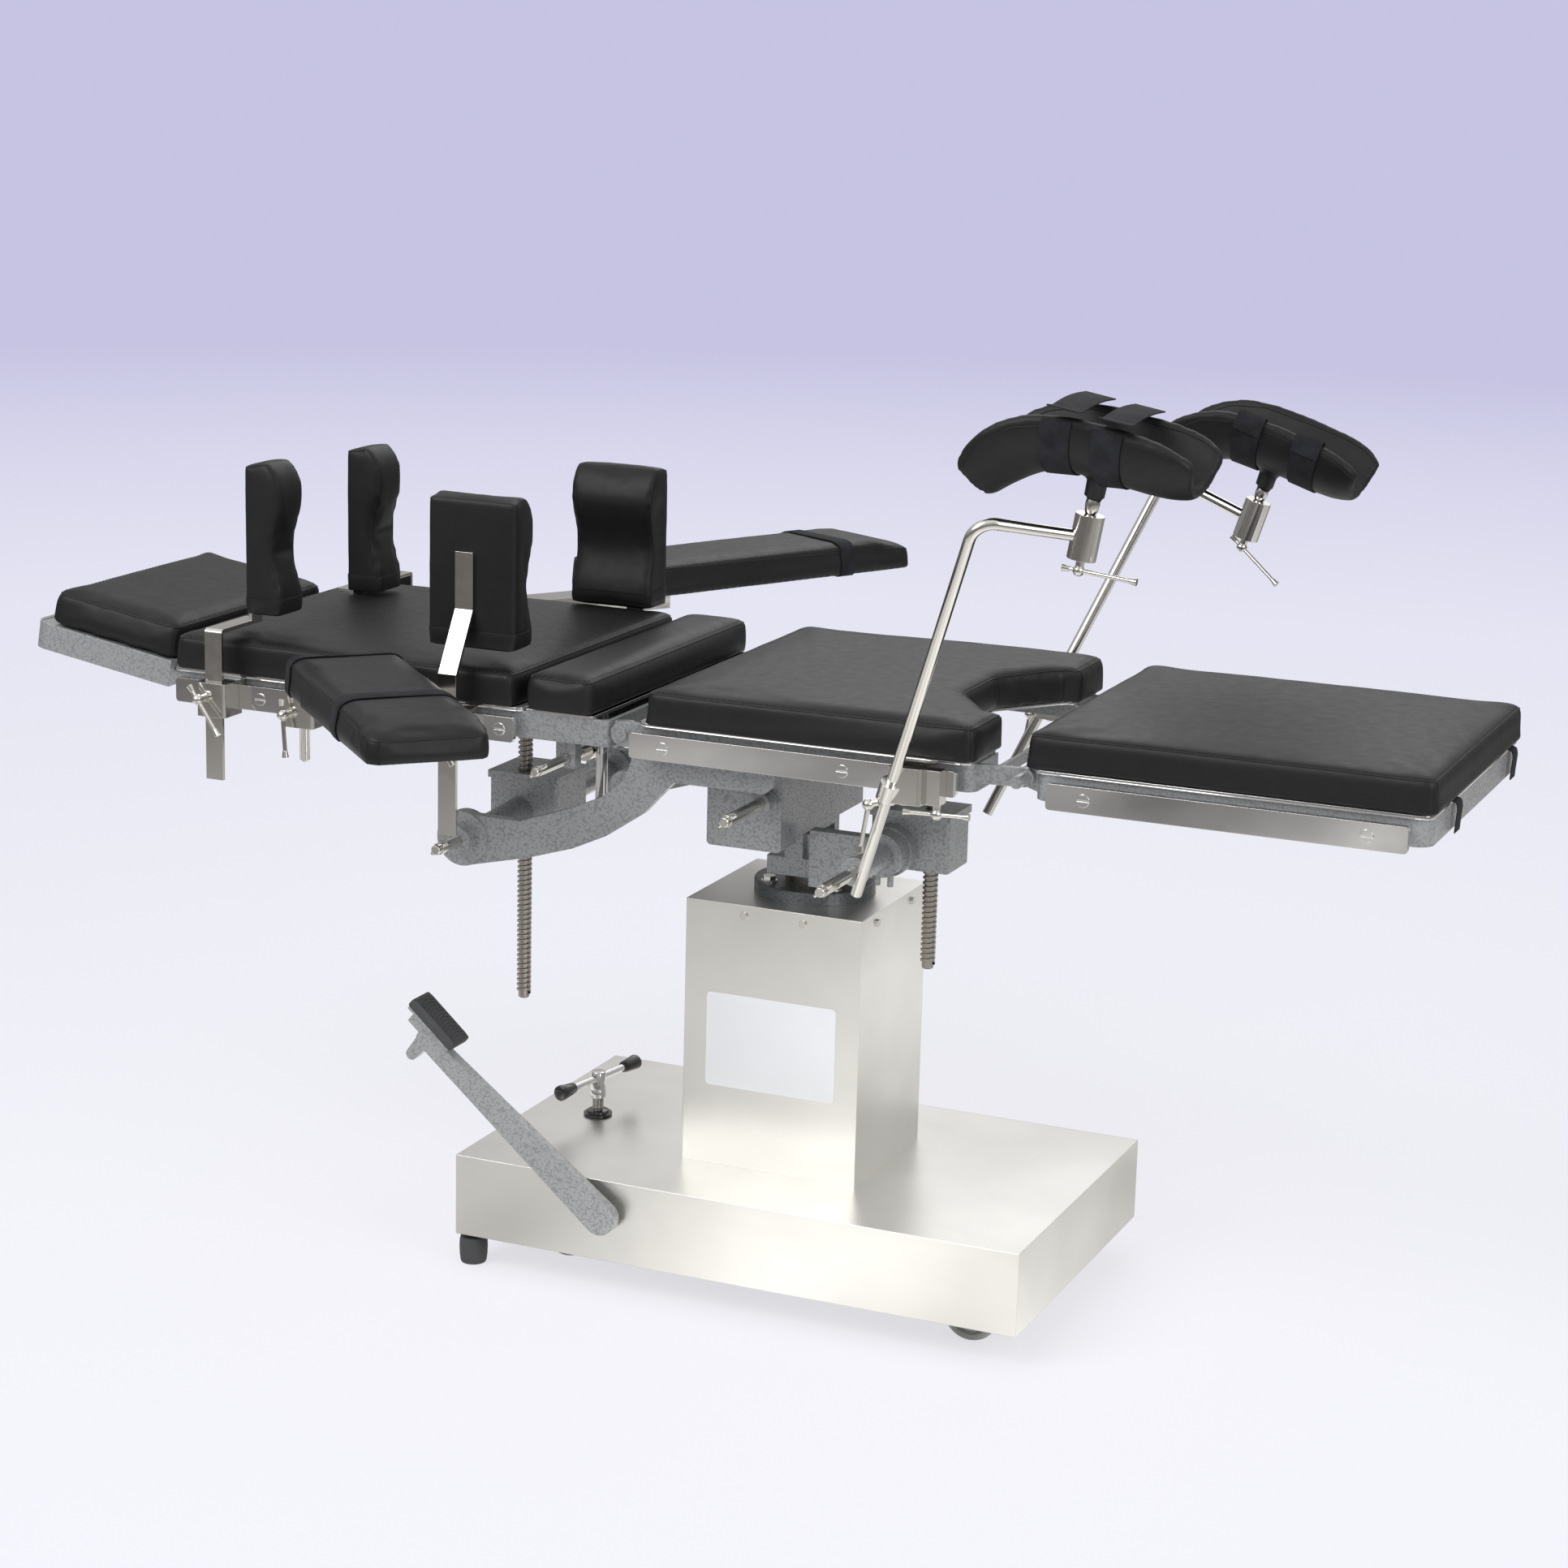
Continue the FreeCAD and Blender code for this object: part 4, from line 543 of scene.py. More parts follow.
@dataclass(frozen=True)
class Hammertone:
    """Hammered grey enamel with round dimples and darker pools."""

    name: str
    colour: tuple = (0.345, 0.352, 0.354)
    cell: float = 300.0
    rough: float = 0.3
    warp: float = 1.6

    def build(self) -> bpy.types.Material:
        """Returns the finish's material."""
        t = Tree(bpy.data.materials.new(self.name))
        wander = t.put("TexNoise", Vector=t.place, Scale=120.0, Detail=2.0).outputs["Color"]
        small = t.put("VectorMath", {"operation": "SCALE"}, Vector=wander, Scale=self.warp * MM)
        warped = t.put("VectorMath", {"operation": "ADD"}, Vector=t.place)
        t.set(warped, 1, small.outputs["Vector"])
        dimples = t.cells(warped.outputs["Vector"], self.cell, 0.6)
        tone = t.span(dimples, 0.0, 1.0, 0.3, 0.85)
        normal = t.bump(dimples, 0.4, 0.5, t.soft_edges(1.2))
        return t.finish(Base_Color=t.between(tone, shade(self.colour, 1.08), shade(self.colour, 0.78)),
                        Roughness=t.span(dimples, self.rough - 0.04, self.rough + 0.12, 0.1, 0.6),
                        Metallic=0.45, Normal=normal, Coat_Weight=0.25, Coat_Roughness=0.15)


@dataclass(frozen=True)
class Moulded:
    """Rubber, plastic or enamel in one colour, with fine unevenness."""

    name: str
    colour: tuple
    rough: float
    relief: float = 0.1
    scale: float = 260.0
    edge: float = 0.5
    coat: float = 0.0
    vary: float = 0.13

    def build(self) -> bpy.types.Material:
        """Returns the finish's material."""
        t = Tree(bpy.data.materials.new(self.name))
        fine = t.noise(t.place, self.scale, 4)
        clouds = t.noise(t.place, 14.0, 3)
        normal = t.bump(fine, 0.3, self.relief, t.soft_edges(self.edge))
        return t.finish(Base_Color=t.between(clouds, shade(self.colour, 1 - self.vary),
                                             shade(self.colour, 1 + self.vary)),
                        Roughness=t.span(fine, self.rough - 0.05, self.rough + 0.06),
                        Normal=normal, Coat_Weight=self.coat, Coat_Roughness=0.1)


@dataclass(frozen=True)
class Webbing:
    """Woven black strap with hook-and-loop pile."""

    name: str
    colour: tuple = (0.014, 0.0145, 0.017)

    def build(self) -> bpy.types.Material:
        """Returns the finish's material."""
        t = Tree(bpy.data.materials.new(self.name))
        across = t.put("TexWave", {"bands_direction": "DIAGONAL"}, Vector=t.place, Scale=260.0,
                       Distortion=1.5, Detail=1.0).outputs["Fac"]
        pile = t.noise(t.place, 900.0, 3)
        clouds = t.noise(t.place, 40.0, 3)
        normal = t.bump(pile, 0.45, 0.3, t.bump(across, 0.4, 0.35))
        return t.finish(Base_Color=t.between(clouds, shade(self.colour, 0.8), shade(self.colour, 1.7)),
                        Roughness=t.span(pile, 0.72, 0.92), Normal=normal, Specular_IOR_Level=0.25)


class Finish(Enum):
    """The finishes that the table has."""

    LEATHER = Leather("black_leatherette")
    BOOT_LEATHER = Leather("boot_leatherette", (0.0095, 0.0095, 0.010), 0.5)
    THREAD = Moulded("seam_thread", (0.024, 0.024, 0.026), 0.6)
    WEB = Webbing("strap_webbing")
    CHROME = Metal("polished_chrome", (0.78, 0.775, 0.77), 0.06, 0.02, (30, 30, 60), 0.004, 0.9)
    NICKEL = Metal("plated_nickel", (0.70, 0.685, 0.65), 0.14, 0.04, (60, 60, 60), 0.006, 0.9)
    STEEL = Metal("cut_steel", (0.36, 0.34, 0.31), 0.3, 0.06, (200, 200, 500), 0.03, 0.3)
    SHEET = Metal("satin_stainless_sheet", (0.86, 0.85, 0.815), 0.31, 0.02, (2, 2, 300), 0.0012, 1.6)
    GREY = Hammertone("hammered_grey_enamel")
    PALE_GREY = Hammertone("hammered_pale_enamel", (0.41, 0.418, 0.422), 330.0, 0.26)
    IRON = Hammertone("hammered_dark_enamel", (0.12, 0.128, 0.133), 280.0, 0.34)
    RUBBER = Moulded("grey_rubber", (0.058, 0.059, 0.061), 0.62, 0.25, 420.0, 0.8)
    KNOB = Moulded("black_phenolic", (0.010, 0.010, 0.011), 0.16, 0.02, 90.0, 0.6, 0.5)
    SOCKET = Moulded("black_nylon", (0.014, 0.014, 0.015), 0.42, 0.08, 300.0, 0.6)
    WHEEL = Moulded("grey_nylon", (0.42, 0.42, 0.40), 0.4, 0.12, 160.0, 0.8)
    PLATE = Moulded("white_enamel_plate", (0.88, 0.89, 0.89), 0.35, 0.002, 40.0, 0.4, 0.2, 0.01)


class Palette:
    """Builds each finish once and gives it to pieces."""

    def __init__(self) -> None:
        """Starts with no material built."""
        self.made: dict[Finish, bpy.types.Material] = {}

    def give(self, obj: bpy.types.Object, finish: Finish) -> bpy.types.Object:
        """Makes a finish the only material of a piece."""
        if finish not in self.made:
            self.made[finish] = finish.value.build()
        obj.data.materials.clear()
        obj.data.materials.append(self.made[finish])
        return obj


class Workshop:
    """Keeps the frame and the palette, and fixes finished pieces to their bodies."""

    def __init__(self, frame: dict) -> None:
        """Takes the loaded frame."""
        self.nodes = frame["nodes"]
        self.palette = Palette()

    def fix(self, obj: bpy.types.Object, body: str, finish: Finish,
            stands_for: Sequence[str] = ()) -> bpy.types.Object:
        """Finishes a piece and lets it ride on a body.

        Args:
            obj: The piece, in its place.
            body: The CAD body it moves with.
            finish: Its finish.
            stands_for: The CAD nodes that it replaces.

        Returns:
            The piece.
        """
        self.palette.give(obj, finish)
        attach(obj, body)
        if stands_for:
            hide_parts(*stands_for)
        log.info("piece %s on %s", obj.name, body)
        return obj

    def dress_nodes(self) -> None:
        """Gives every carried-over CAD node its finish."""
        groups = {
            Finish.SHEET: ("base_cover", "column_cover"),
            Finish.IRON: ("lift_cylinder", "base_frame", "pump", "foot_bar"),
            Finish.GREY: ("saddle", "foot_gearbox", "cradle", "tilt_gearbox", "back_gearbox",
                          "actuator_arms", "seat_frame", "back_frame"),
            Finish.PALE_GREY: ("pedal_arm", "leg_frame", "head_frame"),
            Finish.CHROME: ("seat_rails", "back_rails", "leg_rails", "kidney_bridge", "brake_handle"),
            Finish.NICKEL: ("foot_crank", "tilt_crank", "back_crank", "kidney_crank", "column_fasteners",
                            "castor_fork_near", "castor_fork_far", "leg_support_clamps", "leg_rod_near",
                            "leg_rod_far", "back_rail_clamps", "shoulder_strap_near", "shoulder_strap_far",
                            "side_strap_near", "side_strap_far"),
            Finish.STEEL: ("ram", "foot_screw", "back_screw"),
            Finish.RUBBER: ("pedal_pad", "rubber_feet"),
            Finish.KNOB: ("brake_knobs",),
            Finish.WHEEL: ("wheel_head_near", "wheel_head_far", "wheel_foot_near", "wheel_foot_far"),
            Finish.LEATHER: ("head_pad", "back_pad", "kidney_pad", "seat_pad", "leg_pad", "leg_boot_near",
                             "leg_boot_far", "arm_board_near", "arm_board_far", "shoulder_pad_near",
                             "shoulder_pad_far", "side_pad_near", "side_pad_far"),
        }
        for finish, names in groups.items():
            for name in names:
                self.palette.give(self.nodes[name], finish)


# Soft goods


@dataclass
class Upholstery:
    """How a foam core in leatherette is swelled by simulated cloth."""

    voxel: float = 8.0
    cap: float = 4.0
    pressure: float = 4.0
    frames: int = 20
    smoothing: int = 4
    refine: int = 1
    waver: float = 0.35

    def swell(self, obj: bpy.types.Object, held: Callable[[Vector], bool]) -> bpy.types.Object:
        """Turns a hard form into a stuffed one.

        Args:
            obj: The form, changed in place.
            held: Tells whether a point rests on what carries the pad, and so stays.

        Returns:
            The same object.
        """
        modify(obj, "REMESH", mode="VOXEL", voxel_size=self.voxel * MM, use_smooth_shade=True)
        rest = [v.co.copy() for v in obj.data.vertices]
        fixed = [i for i, co in enumerate(rest) if held(co)]
        self.blow(obj, fixed)
        limit = self.cap * MM
        for vertex, start in zip(obj.data.vertices, rest):
            move = vertex.co - start
            if move.length > 0:
                vertex.co = start + move * (limit * math.tanh(move.length / limit) / move.length)
        still = set(fixed)
        free = obj.vertex_groups.new(name="free")
        free.add([i for i in range(len(rest)) if i not in still], 1.0, "REPLACE")
        modify(obj, "SMOOTH", factor=0.5, iterations=self.smoothing, vertex_group="free")
        if self.refine:
            modify(obj, "SUBSURF", levels=self.refine, render_levels=self.refine)
        self.ripple(obj)
        obj.vertex_groups.clear()
        return smooth(obj, 80)

    def blow(self, obj: bpy.types.Object, fixed: list[int]) -> None:
        """Runs the cloth under pressure and applies it."""
        pin = obj.vertex_groups.new(name="held")
        if fixed:
            pin.add(fixed, 1.0, "REPLACE")
        cloth = obj.modifiers.new("Cloth", "CLOTH")
        settings = cloth.settings
        settings.quality = 4
        settings.use_pressure = True
        settings.uniform_pressure_force = self.pressure
        settings.effector_weights.gravity = 0
        settings.vertex_group_mass = "held"
        cloth.point_cache.frame_start = 1
        cloth.point_cache.frame_end = self.frames
        scene = bpy.context.scene
        for frame in range(1, self.frames + 1):
            scene.frame_set(frame)
        only(obj)
        bpy.ops.object.modifier_apply(modifier=cloth.name)
        scene.frame_set(1)

    def ripple(self, obj: bpy.types.Object) -> None:
        """Gives the cover the faint unevenness of stretched leatherette."""
        normals = [v.normal.copy() for v in obj.data.vertices]
        spots = [v.co.copy() for v in obj.data.vertices]
        flat = []
        for spot, normal in zip(spots, normals):
            lift = noise.noise(spot * 21.0) + 0.4 * noise.noise(spot * 63.0)
            flat.extend(spot + normal * (lift * self.waver * MM))
        obj.data.vertices.foreach_set("co", flat)
        obj.data.update()


def rounded(outline: Sequence[tuple[float, float]], radius: float, steps: int = 5) -> Outline:
    """Returns a closed outline with every corner rounded.

    Args:
        outline: The corners in turn, in millimetres.
        radius: The rounding's reach along each side.
        steps: Points round each corner.
    """
    found = []
    count = len(outline)
    for i, corner in enumerate(outline):
        c = Vector(corner)
        before, after = Vector(outline[i - 1]) - c, Vector(outline[(i + 1) % count]) - c
        a = c + before.normalized() * min(radius, before.length / 2)
        b = c + after.normalized() * min(radius, after.length / 2)
        for k in range(steps + 1):
            t = k / steps
            p = a * (1 - t) ** 2 + c * (2 * t * (1 - t)) + b * t ** 2
            found.append((p.x, p.y))
    return found


@dataclass
class TableCushion:
    """A flat cushion of the table top with its seams."""

    name: str
    node: str
    body: str
    outline: Sequence[tuple[float, float]]
    top: float = 830.0
    bottom: float = 782.0
    tilt: float = 0.0
    hinge: tuple[float, float] = (-866.0, 768.0)
    upholstery: Upholstery = field(default_factory=Upholstery)

    def place(self) -> Matrix:
        """Returns the tilt of the section as a matrix in metres."""
        pivot = moved(self.hinge[0], 0, self.hinge[1])
        return pivot @ Matrix.Rotation(math.radians(self.tilt), 4, "Y") @ pivot.inverted()

    def ring(self, height: float, inset: float) -> list[Vector]:
        """Returns the outline at a height, drawn in by an inset, in the row frame."""
        xs = [p[0] for p in self.outline]
        ys = [p[1] for p in self.outline]
        cx, cy = (min(xs) + max(xs)) / 2, (min(ys) + max(ys)) / 2
        sx = 1 - 2 * inset / (max(xs) - min(xs))
        sy = 1 - 2 * inset / (max(ys) - min(ys))
        drawn = [(cx + (x - cx) * sx, cy + (y - cy) * sy) for x, y in self.outline]
        place = self.place()
        return [place @ mm(x, y, height) for x, y in rounded(drawn, 14)]

    def build(self, shop: Workshop) -> None:
        """Makes the cushion, its edge seams, corner seams and stitches."""
        pad = cad_copy(self.node, self.name, shop.nodes)
        back = self.place().inverted()
        self.upholstery.swell(pad, lambda co: (back @ co).z < (self.bottom + 5) * MM)
        shop.fix(pad, self.body, Finish.LEATHER, [self.node])
        seam = on_surface(even(self.ring(self.top - 2.0, 2.0), 6, True), pad, 0.1, True)
        place = self.place()
        lines = []
        for x, y in self.outline:
            low, rise = self.bottom + 4, (self.top - self.bottom - 9) / 7
            run = [place @ mm(x, y, low + rise * k) for k in range(8)]
            lines.append(on_surface(run, pad, 0.0, False))
        beads = joined(self.name + "_seams", [tube("edge", [seam], 0.95, True), tube("corner", lines, 0.8)])
        shop.fix(beads, self.body, Finish.LEATHER)
        path = on_surface(even(self.ring(self.top + 1.0, 7.5), 4.2, True), pad, 0.15, True)
        dashes = [[path[i], path[(i + 1) % len(path)]] for i in range(0, len(path) - 1, 2)]
        shop.fix(tube(self.name + "_stitches", dashes, 0.42, False, 1), self.body, Finish.THREAD)


def rectangle(x0: float, x1: float, half: float) -> Outline:
    """Returns the corners of a rectangle centred across the table."""
    return [(x0, -half), (x1, -half), (x1, half), (x0, half)]


@dataclass
class TableTop:
    """The five cushions, the boards' bright edges and the leg end's tabs."""

    seat: tuple = ((-129, -258), (321, -258), (321, -149), (297, -149), (238, -60), (238, 60), (297, 149),
                   (321, 149), (321, 258), (-129, 258))
    seat_board: tuple = ((-140, -244), (314, -244), (314, -157), (297, -157), (230, -66), (230, 66),
                         (297, 157), (314, 157), (314, 244), (-140, 244))
    board_foot: float = 777.6
    board_top: float = 782.2
    tab_path: tuple = ((872, 779.2), (886, 779.4), (890.5, 777), (891.6, 770), (890.2, 752), (889.6, 741))
    tab_half: float = 13.0

    def build(self, shop: Workshop) -> None:
        """Makes every cushion of the top and what trims the boards."""
        cushions = [
            TableCushion("head_cushion", "head_pad", "head", rectangle(-1076, -868, 195), 827, 778, 9.0),
            TableCushion("back_cushion", "back_pad", "back", rectangle(-837, -313, 250)),
            TableCushion("kidney_cushion", "kidney_pad", "kidney", rectangle(-302, -203, 250)),
            TableCushion("seat_cushion", "seat_pad", "seat", self.seat),
            TableCushion("leg_cushion", "leg_pad", "leg", rectangle(379, 892, 244)),
        ]
        for cushion in cushions:
            cushion.build(shop)
        self.trim(shop, "seat_board_edge", "seat", self.seat_board)
        self.trim(shop, "back_board_edge", "back", rectangle(-836, -305, 244))
        self.trim(shop, "leg_board_edge", "leg", rectangle(392, 884, 240))
        self.tabs(shop)

    def trim(self, shop: Workshop, name: str, body: str, outline: Sequence) -> None:
        """Makes the bright strip round a board's edge."""
        ring = rounded(outline, 14)
        lower, upper = ([mm(x, y, z) for x, y in ring] for z in (self.board_foot, self.board_top))
        shop.fix(ribbon(name, lower, upper, 0.7, True), body, Finish.CHROME)

    def tabs(self, shop: Workshop) -> None:
        """Makes the two hook-and-loop tabs that hold the leg cushion at its end."""
        for word, y in (("near", -126.0), ("far", 186.0)):
            path = even([mm(x, y, z) for x, z in self.tab_path], 3, False)
            half = mm(0, self.tab_half, 0)
            tab = ribbon("leg_tab_" + word, [p - half for p in path], [p + half for p in path], 1.6)
            shop.fix(tab, "leg", Finish.WEB)


@dataclass
class SupportPad:
    """A stuffed body support with a full top, a waist and a full foot."""

    name: str
    body: str
    centre: tuple[float, float, float]
    turn: float
    width: float
    height: float
    band: tuple[float, float] = (1.5, 24.0)

    def at(self, depth: float, across: float, up: float) -> Vector:
        """Returns a point of the pad's own frame in the row frame."""
        turn = Matrix.Rotation(math.radians(self.turn), 3, "Z")
        return mm(*self.centre) + turn @ mm(depth, across, up)

    def profile(self) -> Outline:
        """Returns depth and height of the side edge, from the foot up over the top to the back."""
        h = self.height
        return [(53, 1), (54.5, 26), (48, 0.3 * h), (42, 0.42 * h), (47, 0.57 * h), (56, 0.75 * h),
                (54.5, 0.84 * h), (48, 0.92 * h), (32, h - 0.5), (14, h - 4), (1, h - 7)]

    def build(self, shop: Workshop) -> None:
        """Makes the pad, its side seams and its closure band."""
        pad = cad_copy(self.name, self.name + "_cover", shop.nodes)
        soft = Upholstery(voxel=5.0, cap=3.0, pressure=5.0, smoothing=3, waver=0.5)
        origin, out = self.at(0, 0, 0), self.at(1, 0, 0) - self.at(0, 0, 0)
        out.normalize()
        soft.swell(pad, lambda co: (co - origin).dot(out) < 3 * MM)
        shop.fix(pad, self.body, Finish.LEATHER, [self.name])
        lines = []
        for side in (-1, 1):
            edge = [self.at(d, side * self.width / 2, z) for d, z in self.profile()]
            lines.append(on_surface(even(edge, 5, False), pad, 0.0, False))
        shop.fix(tube(self.name + "_seams", lines, 0.9), self.body, Finish.LEATHER)
        half = self.width / 2
        section = rounded([(0, -half), (53.5, -half), (53.5, half), (0, half)], 9)
        edges = []
        for up in self.band:
            ring = even([self.at(d, y, up) for d, y in section], 5, True)
            edges.append(on_surface(ring, pad, 0.5, True))
        shop.fix(ribbon(self.name + "_band", *edges, 0.9, True), self.body, Finish.LEATHER)


@dataclass
class ArmBoard:
    """An upholstered arm board on its bright bracket, with straps round it."""

    side: Side
    inner: tuple[float, float]
    direction: tuple[float, float]
    length: float
    under: float
    straps: tuple[float, ...]
    width: float = 155.0
    thick: float = 46.0
    slope: float = 13.0
    sloped: float = 62.0
    inset: float = 1.5
    strap_half: float = 13.0
    flap_half: float = 14.0

    def at(self, along: float, across: float, up: float) -> Vector:
        """Returns a point of the board's own frame in the row frame."""
        dx, dy = self.direction
        size = math.hypot(dx, dy)
        dx, dy = dx / size, dy / size
        return mm(self.inner[0] + along * dx - across * dy, self.inner[1] + along * dy + across * dx,
                  self.under + up)

    def build(self, shop: Workshop) -> None:
        """Makes the cover, the bracket, the seams and the straps."""
        word = self.side.word
        body = "arm_board_" + word
        parts = loose_parts(cad_copy(body, "arm_cover_" + word, shop.nodes))
        board, bracket = parts[0], joined("arm_bracket_" + word, parts[1:])
        board.name = "arm_cover_" + word
        smooth(bracket, 30)
        soft = Upholstery(voxel=6.0, cap=3.5, smoothing=3)
        soft.swell(board, lambda co: co.z < (self.under + 4) * MM)
        shop.fix(board, body, Finish.LEATHER, [body])
        shop.fix(bracket, body, Finish.NICKEL)
        half = self.width / 2
        drop = math.tan(math.radians(self.slope))
        ring = []
        for x, y in rounded([(0, -half), (self.length, -half), (self.length, half), (0, half)], 20):
            along = x * (1 - 2 * self.inset / self.length) + self.inset
            across = y * (1 - 2 * self.inset / self.width)
            up = self.thick - 2 - max(0.0, x - (self.length - self.sloped)) * drop
            ring.append(self.at(along, across, up))
        seam = on_surface(even(ring, 5, True), board, 0.1, True)
        shop.fix(tube("arm_seams_" + word, [seam], 0.9, True), body, Finish.LEATHER)
        for number, along in enumerate(self.straps, 1):
            section = rounded([(-half - 1, -1), (half + 1, -1), (half + 1, self.thick + 1),
                               (-half - 1, self.thick + 1)], 10)
            edges = []
            for shift in (-self.strap_half, self.strap_half):
                ring = even([self.at(along + shift, y, z) for y, z in section], 5, True)
                edges.append(on_surface(ring, board, 0.6, True))
            strap = ribbon(f"arm_strap_{word}_{number}", *edges, 1.5, True)
            shop.fix(strap, body, Finish.WEB)
            edges = []
            for shift in (-self.flap_half, self.flap_half):
                run = [self.at(along + shift, y, self.thick + 4) for y in range(-70, 8, 6)]
                edges.append(on_surface(run, board, 2.4, False))
            tab = ribbon(f"arm_strap_end_{word}_{number}", *edges, 1.3)
            shop.fix(tab, body, Finish.WEB)


@dataclass
class Boot:
    """A padded trough for the calf with its stem, seams and straps."""

    side: Side
    stem_foot: tuple[float, float, float]
    lean: float
    straps: tuple[float, ...]
    bridged: bool
    radius: float = 74.0
    stem: float = 70.0
    stations: tuple = ((124, 9, 4, 40), (100, 2, 2, 64), (72, 0, 0, 73), (-45, 0, 0, 73),
                       (-72, -9, -20, 71), (-98, -27, -38, 64), (-122, -50, -42, 46))
    socket: tuple = ((-22, 10.8), (-21, 12), (-4, 12.4), (6, 14.5))
    knuckle: tuple = ((-66, 5.4), (-65, 6), (-53, 6), (-51, 4.4), (-46, 4.4), (-43, 6.6), (-39, 7.8),
                      (-31, 8.8), (-24, 8.2), (-22, 7.4))
    strap_half: float = 18.0
    hook: tuple = ((-78, 52), (-78.5, 64), (-77, 75), (-70, 79.5), (-61, 77), (-57, 70), (-56.5, 60))

    def place(self) -> Matrix:
        """Returns the boot's own frame in the row frame, in metres."""
        a = math.radians(self.lean)
        x, y, z = self.stem_foot
        top = mm(x + self.stem * math.sin(a), y, z + self.stem * math.cos(a))
        return Matrix.Translation(top) @ Matrix.Rotation(a, 4, "Y")

    def rim(self, side: int, radius: float, share: float) -> list[Vector]:
        """Returns a line along the trough.

        Args:
            side: -1 or 1, the side of the trough.
            radius: Distance from the trough's axis in millimetres.
            share: How far round towards the rim, from 0 to 1.
        """
        place = self.place()
        line = []
        for x, z, slope, rim in self.stations:
            angle = share * math.acos(1 - min(rim, self.radius) / self.radius)
            local = Vector((0, side * radius * math.sin(angle), self.radius - radius * math.cos(angle)))
            local = Matrix.Rotation(math.radians(slope), 3, "Y") @ local
            line.append(place @ mm(x + local.x, local.y, z + local.z))
        return line

    def build(self, shop: Workshop) -> None:
        """Makes shell, socket, knuckle, seams and straps."""
        word = self.side.word
        body, node = "boot_" + word, "leg_boot_" + word
        parts = loose_parts(cad_copy(node, "boot_shell_" + word, shop.nodes))
        shell = parts[0]
        for other in parts[1:]:
            bpy.data.objects.remove(other)
        shell.name = "boot_shell_" + word
        soft = Upholstery(voxel=5.0, cap=3.0, pressure=3.0, smoothing=6, waver=0.6)
        soft.swell(shell, lambda co: False)
        shop.fix(shell, body, Finish.BOOT_LEATHER, [node])
        lines = []
        for side in (-1, 1):
            for radius, share in ((self.radius, 0.9), (self.radius - 16, 0.93)):
                lines.append(on_surface(even(self.rim(side, radius, share), 6, False), shell, 0.0, False))
        middle = even(self.rim(1, self.radius, 0.42), 6, False)
        lines.append(on_surface(middle, shell, 0.0, False))
        shop.fix(tube("boot_seams_" + word, lines, 0.85), body, Finish.BOOT_LEATHER)
        place = self.place()
        boss = turned("boot_socket_" + word, self.socket, place)
        shop.fix(boss, body, Finish.SOCKET)
        knuckle = turned("boot_knuckle_" + word, self.knuckle, place)
        shop.fix(knuckle, body, Finish.NICKEL)
        for number, x in enumerate(self.straps, 1):
            self.strap(shop, shell, number, x)

    def strap(self, shop: Workshop, shell: bpy.types.Object, number: int, x: float) -> None:
        """Makes one strap round the trough, and over it where it is bridged."""
        word, place = self.side.word, self.place()
        half, r = self.strap_half, self.radius + 2.0
        edges = []
        for shift in (-half, half):
            arc = []
            for k in range(-22, 23):
                angle = math.radians(4.0 * k)
                arc.append(place @ mm(x + shift, r * math.sin(angle), self.radius - r * math.cos(angle)))
            edges.append(on_surface(arc, shell, 0.7, False))
        around = ribbon(f"boot_strap_{word}_{number}", *edges, 1.6)
        shop.fix(around, "boot_" + word, Finish.WEB)
        edges = []
        for shift in (-half - 1, half + 1):
            if self.bridged:
                run = []
                for k in range(25):
                    t = k / 24
                    y = 76 - t * 172
                    z = 80 + 5 * math.sin(math.pi * t) + 6 * max(0.0, t - 0.85) / 0.15
                    run.append(place @ mm(x + shift + 10 * t, y, z))
                edges.append(run)
            else:
                edges.append(even([place @ mm(x + shift, y, z) for y, z in self.hook], 4, False))
        over = ribbon(f"boot_strap_over_{word}_{number}", *edges, 1.8)
        shop.fix(over, "boot_" + word, Finish.WEB)


# Hard goods


@dataclass
class LeadScrew:
    """A long screw with its real thread, a shank and an eye."""

    name: str
    node: str
    x: float
    y: float
    low: float
    pin: float
    shank: float
    radius: float = 10.0
    pitch: float = 7.0
    root: float = 7.7

    def build(self, shop: Workshop) -> None:
        """Makes thread, core, shank and eye as one piece."""
        top = self.pin - self.shank
        profile = [(self.root, 0.0), (self.root, 1.9), (self.radius, 2.9), (self.radius, 5.9),
                   (self.root, self.pitch)]
        thread = polyline(self.name, [mm(r, 0, z) for r, z in profile], False)
        turns = int((top - self.low - 4) / self.pitch)
        modify(thread, "SCREW", screw_offset=self.pitch * MM, steps=28, render_steps=28, iterations=turns,
               axis="Z", use_merge_vertices=True, merge_threshold=0.01 * MM)
        thread.data.transform(moved(self.x, self.y, self.low + 3))
        outward(thread)
        upright = moved(self.x, self.y)
        wide = self.root + 0.1
        shape = [(self.low, 6.4), (self.low + 1.5, wide), (top - 1, wide), (top, 6.8), (self.pin - 6, 6.2)]
        core = turned("core", shape, upright, 32)
        across = facing(mm(self.x, self.y, self.pin), Vector((0, 1, 0)))
        eye = turned("eye", [(-7, 9.8), (-6, 11), (6, 11), (7, 9.8)], across, 40)
        pin = turned("pin", [(-12, 4.2), (-11.4, 5), (11.4, 5), (12, 4.2)], across, 24)
        whole = joined(self.name, [thread, core, eye, pin])
        smooth(whole, 40)
        shop.fix(whole, self.node, Finish.STEEL, [self.node])


